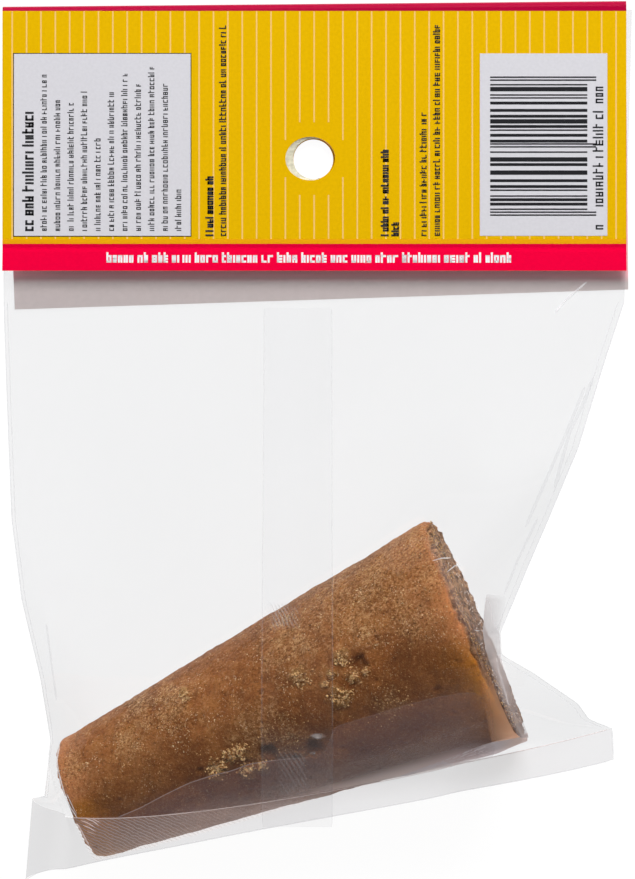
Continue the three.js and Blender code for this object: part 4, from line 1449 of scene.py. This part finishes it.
def cut_hole(piece, hole, centre_z, depth):
    """Cuts an upright oval hole through the part of the piece near a height."""
    x, y, half_x, half_y = hole
    drill = add_object("drill", bpy.data.meshes.new("drill"))
    shape = bmesh.new()
    bmesh.ops.create_cone(
        shape, cap_ends=True, segments=72, radius1=MM, radius2=MM, depth=2 * depth * MM
    )
    shape.to_mesh(drill.data)
    shape.free()
    drill.location = (x * MM, y * MM, centre_z * MM)
    drill.scale = (half_x, half_y, 1.0)
    cut = piece.modifiers.new("hang_hole", "BOOLEAN")
    cut.operation = "DIFFERENCE"
    cut.solver = "EXACT"
    cut.object = drill
    bpy.context.view_layer.objects.active = piece
    bpy.ops.object.modifier_apply(modifier=cut.name)
    bpy.data.objects.remove(drill)


def make_torn_edge():
    """The pale torn board inside the hang hole, widest on its left."""
    turn = np.linspace(math.radians(70), math.radians(290), 90)
    around = np.stack([np.cos(turn), np.sin(turn)], axis=1)
    uneven = plan_noise(around * 5, 0.9, 91)
    outer = np.array(FACE_HOLE[:2]) + around * FACE_HOLE[2:]
    inner = around * (HOLE_RADIUS * 1.01) + (HOLE_X, HOLE_Y)
    middle = (outer + inner) / 2 + 0.15 * uneven[:, None]
    heights = (FACE_LEAF_TOP - 0.1, FACE_LEAF_TOP - 0.35, FACE_LEAF_UNDER - 0.1)
    lines = zip((outer, middle, inner), heights)
    rows = [np.column_stack([line, height + 0.08 * uneven]) for line, height in lines]
    points = np.stack(rows, axis=1).reshape(-1, 3)
    faces = grid_faces(len(turn), 3)
    piece = make_piece("card_torn_edge", points, faces, CARD_INK["torn"], smooth=False)


# ---- the print on the card

INK_LAYER = 0.03
# Places along the card where a printed patch has points, to follow the crimp and the fold.
INK_ROWS = np.concatenate(
    [np.arange(CARD_FACE_EDGE_Y, CARD_CRIMP_Y + 2.0, 0.3), np.arange(95.6, 99.0, 0.12)]
)
STRIPE_PITCH = 3.24
STRIPE_WIDTH = 0.34
FIRST_STRIPE_X = -68.8
STRIPE_BOTTOM_Y = 45.2
STRIPE_TOP_Y = 96.5
# Stripes near the hang hole are broken round it: distance from its middle, half gap.
STRIPE_GAPS = [(5.0, 8.2), (8.0, 4.2)]
ORANGE_TOP_Y = 45.2
BAND_TOP_Y = 44.1
PANEL = (-68.4, -28.6, 45.9, 86.9)
PANEL_RULE = 0.18
BARCODE_LABEL = (36.6, 65.3, 45.9, 87.0)

# Rows of greeked text that read up the card: baseline x, letter height, y from, y to.
TEXT_START_Y = 47.0
BODY_LETTER = 1.45
PANEL_ROW_PITCH = 3.03
PANEL_FIRST_ROW_X = -61.0
PANEL_ROW_ENDS = [82.5, 76.8, 75.9, 78.6, 67.6, 79.3, 82.5, 80.2, 84.1, 80.7, 57.4]
SIDE_COLUMNS = [(-20.6, 1.6, 45.9, 93.3), (24.6, 1.6, 45.9, 73.9), (27.6, 1.6, 45.9, 93.8)]
BOLD_COLUMNS = [
    (-64.0, 2.5, 47.0, 74.3), (-23.5, 1.7, 45.9, 59.4),
    (16.0, 1.7, 45.9, 65.8), (18.3, 1.6, 45.9, 49.5),
]
DIGIT_COLUMNS = [(64.4, 2.4, 47.3, 48.6), (64.4, 2.4, 52.5, 80.0)]
BOLDNESS = 0.06
# One row of text that reads along the band.
BAND_TEXT_X = (-47.5, 44.3)
BAND_TEXT_Y = 39.9
BAND_LETTER = 2.2
BAND_BOLDNESS = 0.07
LETTER_STROKE = 0.15  # share of the letter height
LOWER_CASE = 0.72

BAR_MODULE = 0.33
BAR_LEFT, BAR_RIGHT, GUARD_RIGHT = 38.9, 60.8, 62.8
BAR_BOTTOM_Y, BAR_TOP_Y = 50.4, 81.8


def ink_patches(name, rectangles, ink, layer=1):
    """Printed rectangles (x0, x1, y0, y1) laid on the upper leaf, as one piece."""
    patches = []
    for x0, x1, y0, y1 in rectangles:
        between = INK_ROWS[(INK_ROWS > y0) & (INK_ROWS < y1)]
        y = np.unique(np.concatenate([[y0, y1], between]))[::-1]
        x, y = np.meshgrid([x0, x1], y)
        points = np.stack([x, y, leaf_top(x, y) + INK_LAYER * layer], axis=-1)
        patches.append((points.reshape(-1, 3), grid_faces(len(y), 2)))
    piece = make_piece(name, *joined(patches), CARD_INK[ink], smooth=False)


def grown(rectangles, margin):
    return [(x0 - margin, x1 + margin, y0 - margin, y1 + margin) for x0, x1, y0, y1 in rectangles]


def letter_marks(rng, height):
    """A plain letter-sized mark: its width and its strokes (along from, to, up from, to)."""
    stroke = LETTER_STROKE * height
    low = LOWER_CASE * height
    tall = height if rng.uniform() < 0.3 else low
    strokes = [(0.0, stroke, 0.0, tall)]
    width = stroke
    if rng.uniform() < 0.8:
        width = height * rng.uniform(0.36, 0.5)
        if rng.uniform() < 0.6:
            strokes.append((width - stroke, width, 0.0, low))
        for level, chance in ((0.0, 0.5), (0.5, 0.3), (1.0, 0.6)):
            if rng.uniform() < chance:
                up = level * (low - stroke)
                strokes.append((0.0, width, up, up + stroke))
    return width, strokes


def greeked_row(rng, start, end, height):
    """Strokes of letter-sized marks, parted into words, from start to end."""
    at = start
    letters_left = rng.integers(2, 9)
    while at < end - 0.3 * height:
        width, strokes = letter_marks(rng, height)
        yield from [(at + u0, at + u1, v0, v1) for u0, u1, v0, v1 in strokes]
        at += width + 0.17 * height
        letters_left -= 1
        if letters_left == 0:
            at += 0.3 * height
            letters_left = rng.integers(2, 9)


def upright_marks(rng, columns):
    """Rectangles for rows of marks that read up the card."""
    return [
        (baseline - v1, baseline - v0, low, high)
        for baseline, height, start, end in columns
        for low, high, v0, v1 in greeked_row(rng, start, end, height)
    ]


def bar_pattern(rng):
    """Bars of random widths between guard bars: it looks like a code but isn't one."""
    middle = (BAR_BOTTOM_Y + BAR_TOP_Y) / 2
    bars = []
    for guard in (BAR_BOTTOM_Y, middle - BAR_MODULE, BAR_TOP_Y - 3 * BAR_MODULE):
        for low in (guard, guard + 2 * BAR_MODULE):
            bars.append((BAR_LEFT, GUARD_RIGHT, low, low + BAR_MODULE))
    y = BAR_BOTTOM_Y + 4 * BAR_MODULE
    while y < BAR_TOP_Y - 6 * BAR_MODULE:
        width = BAR_MODULE * rng.choice([1, 1, 2, 2, 3])
        if abs(y + width / 2 - middle) >= 3.2 * BAR_MODULE:
            bars.append((BAR_LEFT, BAR_RIGHT, y, y + width))
        y += width + BAR_MODULE * rng.choice([1, 1, 2, 3])
    return bars


def stripes(right):
    """Pale upright stripes across the yellow, broken round the hang hole."""
    for x in np.arange(FIRST_STRIPE_X, right - STRIPE_WIDTH, STRIPE_PITCH):
        gaps = [gap for reach, gap in STRIPE_GAPS if abs(x - HOLE_X) < reach]
        ends = [STRIPE_BOTTOM_Y, STRIPE_TOP_Y]
        if gaps:
            ends[1:1] = [HOLE_Y - gaps[0], HOLE_Y + gaps[0]]
        for low, high in zip(ends[::2], ends[1::2]):
            yield x - STRIPE_WIDTH / 2, x + STRIPE_WIDTH / 2, low, high


def make_print():
    """Fields of colour, rules, letter-sized marks that spell nothing, and a bar pattern."""
    rng = np.random.default_rng(RNG_SEED + 1)
    left, right = CARD_FACE_SHIFT - CARD_WIDTH / 2, CARD_FACE_SHIFT + CARD_WIDTH / 2
    ink_patches("card_band", [(left, right, CARD_FACE_EDGE_Y + 0.02, BAND_TOP_Y)], "magenta")
    ink_patches("card_orange_rule", [(left, right, BAND_TOP_Y, ORANGE_TOP_Y)], "orange")
    ink_patches("card_stripes", stripes(right), "stripe")
    ink_patches("card_panel_rule", grown([PANEL], PANEL_RULE), "black", 2)
    ink_patches("card_panels", [PANEL, BARCODE_LABEL], "panel", 3)
    panel_rows = [
        (PANEL_FIRST_ROW_X + index * PANEL_ROW_PITCH, BODY_LETTER, TEXT_START_Y, end)
        for index, end in enumerate(PANEL_ROW_ENDS)
    ]
    marks = upright_marks(rng, panel_rows + SIDE_COLUMNS)
    marks += grown(upright_marks(rng, BOLD_COLUMNS), BOLDNESS)
    marks += upright_marks(rng, DIGIT_COLUMNS)
    ink_patches("card_text_bars", marks, "text", 4)
    ink_patches("card_bar_pattern", bar_pattern(rng), "black", 4)
    band = [
        (low, high, BAND_TEXT_Y + v0, BAND_TEXT_Y + v1)
        for low, high, v0, v1 in greeked_row(rng, *BAND_TEXT_X, BAND_LETTER)
    ]
    ink_patches("card_band_bars", grown(band, BAND_BOLDNESS), "white", 2)


# ---- floor, lights, camera

FLOOR_HALF = 15.0  # metres
# Area lights: place and size in metres, power in watts.
LIGHTS = {
    "key": ((0.12, 0.85, 0.85), (0.8, 0.6), 14.2),
    "fill_left": ((-0.9, 0.1, 0.8), (0.8, 0.8), 1.6),
    "fill_right": ((0.9, 0.1, 0.8), (0.8, 0.8), 2.0),
}
ZENITH = 0.06
HORIZON = 0.28
FAR_WALL = 0.12
NEAR_PANEL = (0.26, 0.28, 0.32)
PANEL_EDGE = 0.50  # sine of the turn from straight up where the near panel starts
PANEL_FADE = 0.4


def make_floor():
    mesh = bpy.data.meshes.new("floor")
    corners = [(x * FLOOR_HALF, y * FLOOR_HALF, 0) for x, y in ((-1, -1), (1, -1), (1, 1), (-1, 1))]
    mesh.from_pydata(corners, [], [(0, 1, 2, 3)])
    mesh.materials.append(floor_material())
    floor = add_object("floor", mesh)


def add_area_light(name, place, size, power):
    data = bpy.data.lights.new(name, "AREA")
    data.shape = "RECTANGLE"
    data.size, data.size_y = size
    data.energy = power
    light = add_object(name, data)
    light.location = place
    light.rotation_euler = (-Vector(place)).to_track_quat("-Z", "Y").to_euler()
    light.visible_glossy = False


def make_world():
    """A dark ceiling, pale walls and a cool panel on the side that the cone's flank faces.

    The steps are taken over sines: of the height over the horizon and of the turn downhill.
    """
    world = bpy.data.worlds.new("studio")
    bpy.context.scene.world = world
    nodes = Nodes(world, "Generated")
    walls = nodes.place.part("Z").steps(0.15, 0.85, HORIZON, ZENITH)
    down_hill = CONE_HEADING - math.pi / 2
    toward = nodes.place.reach((math.cos(down_hill), math.sin(down_hill), 0.0))
    dimmed = walls * toward.steps(-0.5, -0.75, 1.0, FAR_WALL / HORIZON)
    colour = toward.steps(PANEL_EDGE, PANEL_EDGE + PANEL_FADE).blend(dimmed, NEAR_PANEL)
    nodes.finish(nodes.add("Background", {"Color": colour}), "OutputWorld")


def make_camera():
    data = bpy.data.cameras.new("camera")
    data.sensor_width = SENSOR
    data.lens = SENSOR * CAMERA_HEIGHT / VIEW_HEIGHT
    data.clip_start = 0.05
    data.clip_end = 100.0
    camera = add_object("camera", data)
    camera.location = (0, 0, CAMERA_HEIGHT * MM)
    bpy.context.scene.camera = camera


bpy.context.scene.view_settings.view_transform = "Standard"
bpy.context.scene.cycles.transparent_max_bounces = 24

cone = make_cone()
make_grains(cone)
make_film()
make_card()
make_torn_edge()
make_print()
make_floor()
make_world()
for name, light in LIGHTS.items():
    add_area_light(name, *light)
make_camera()
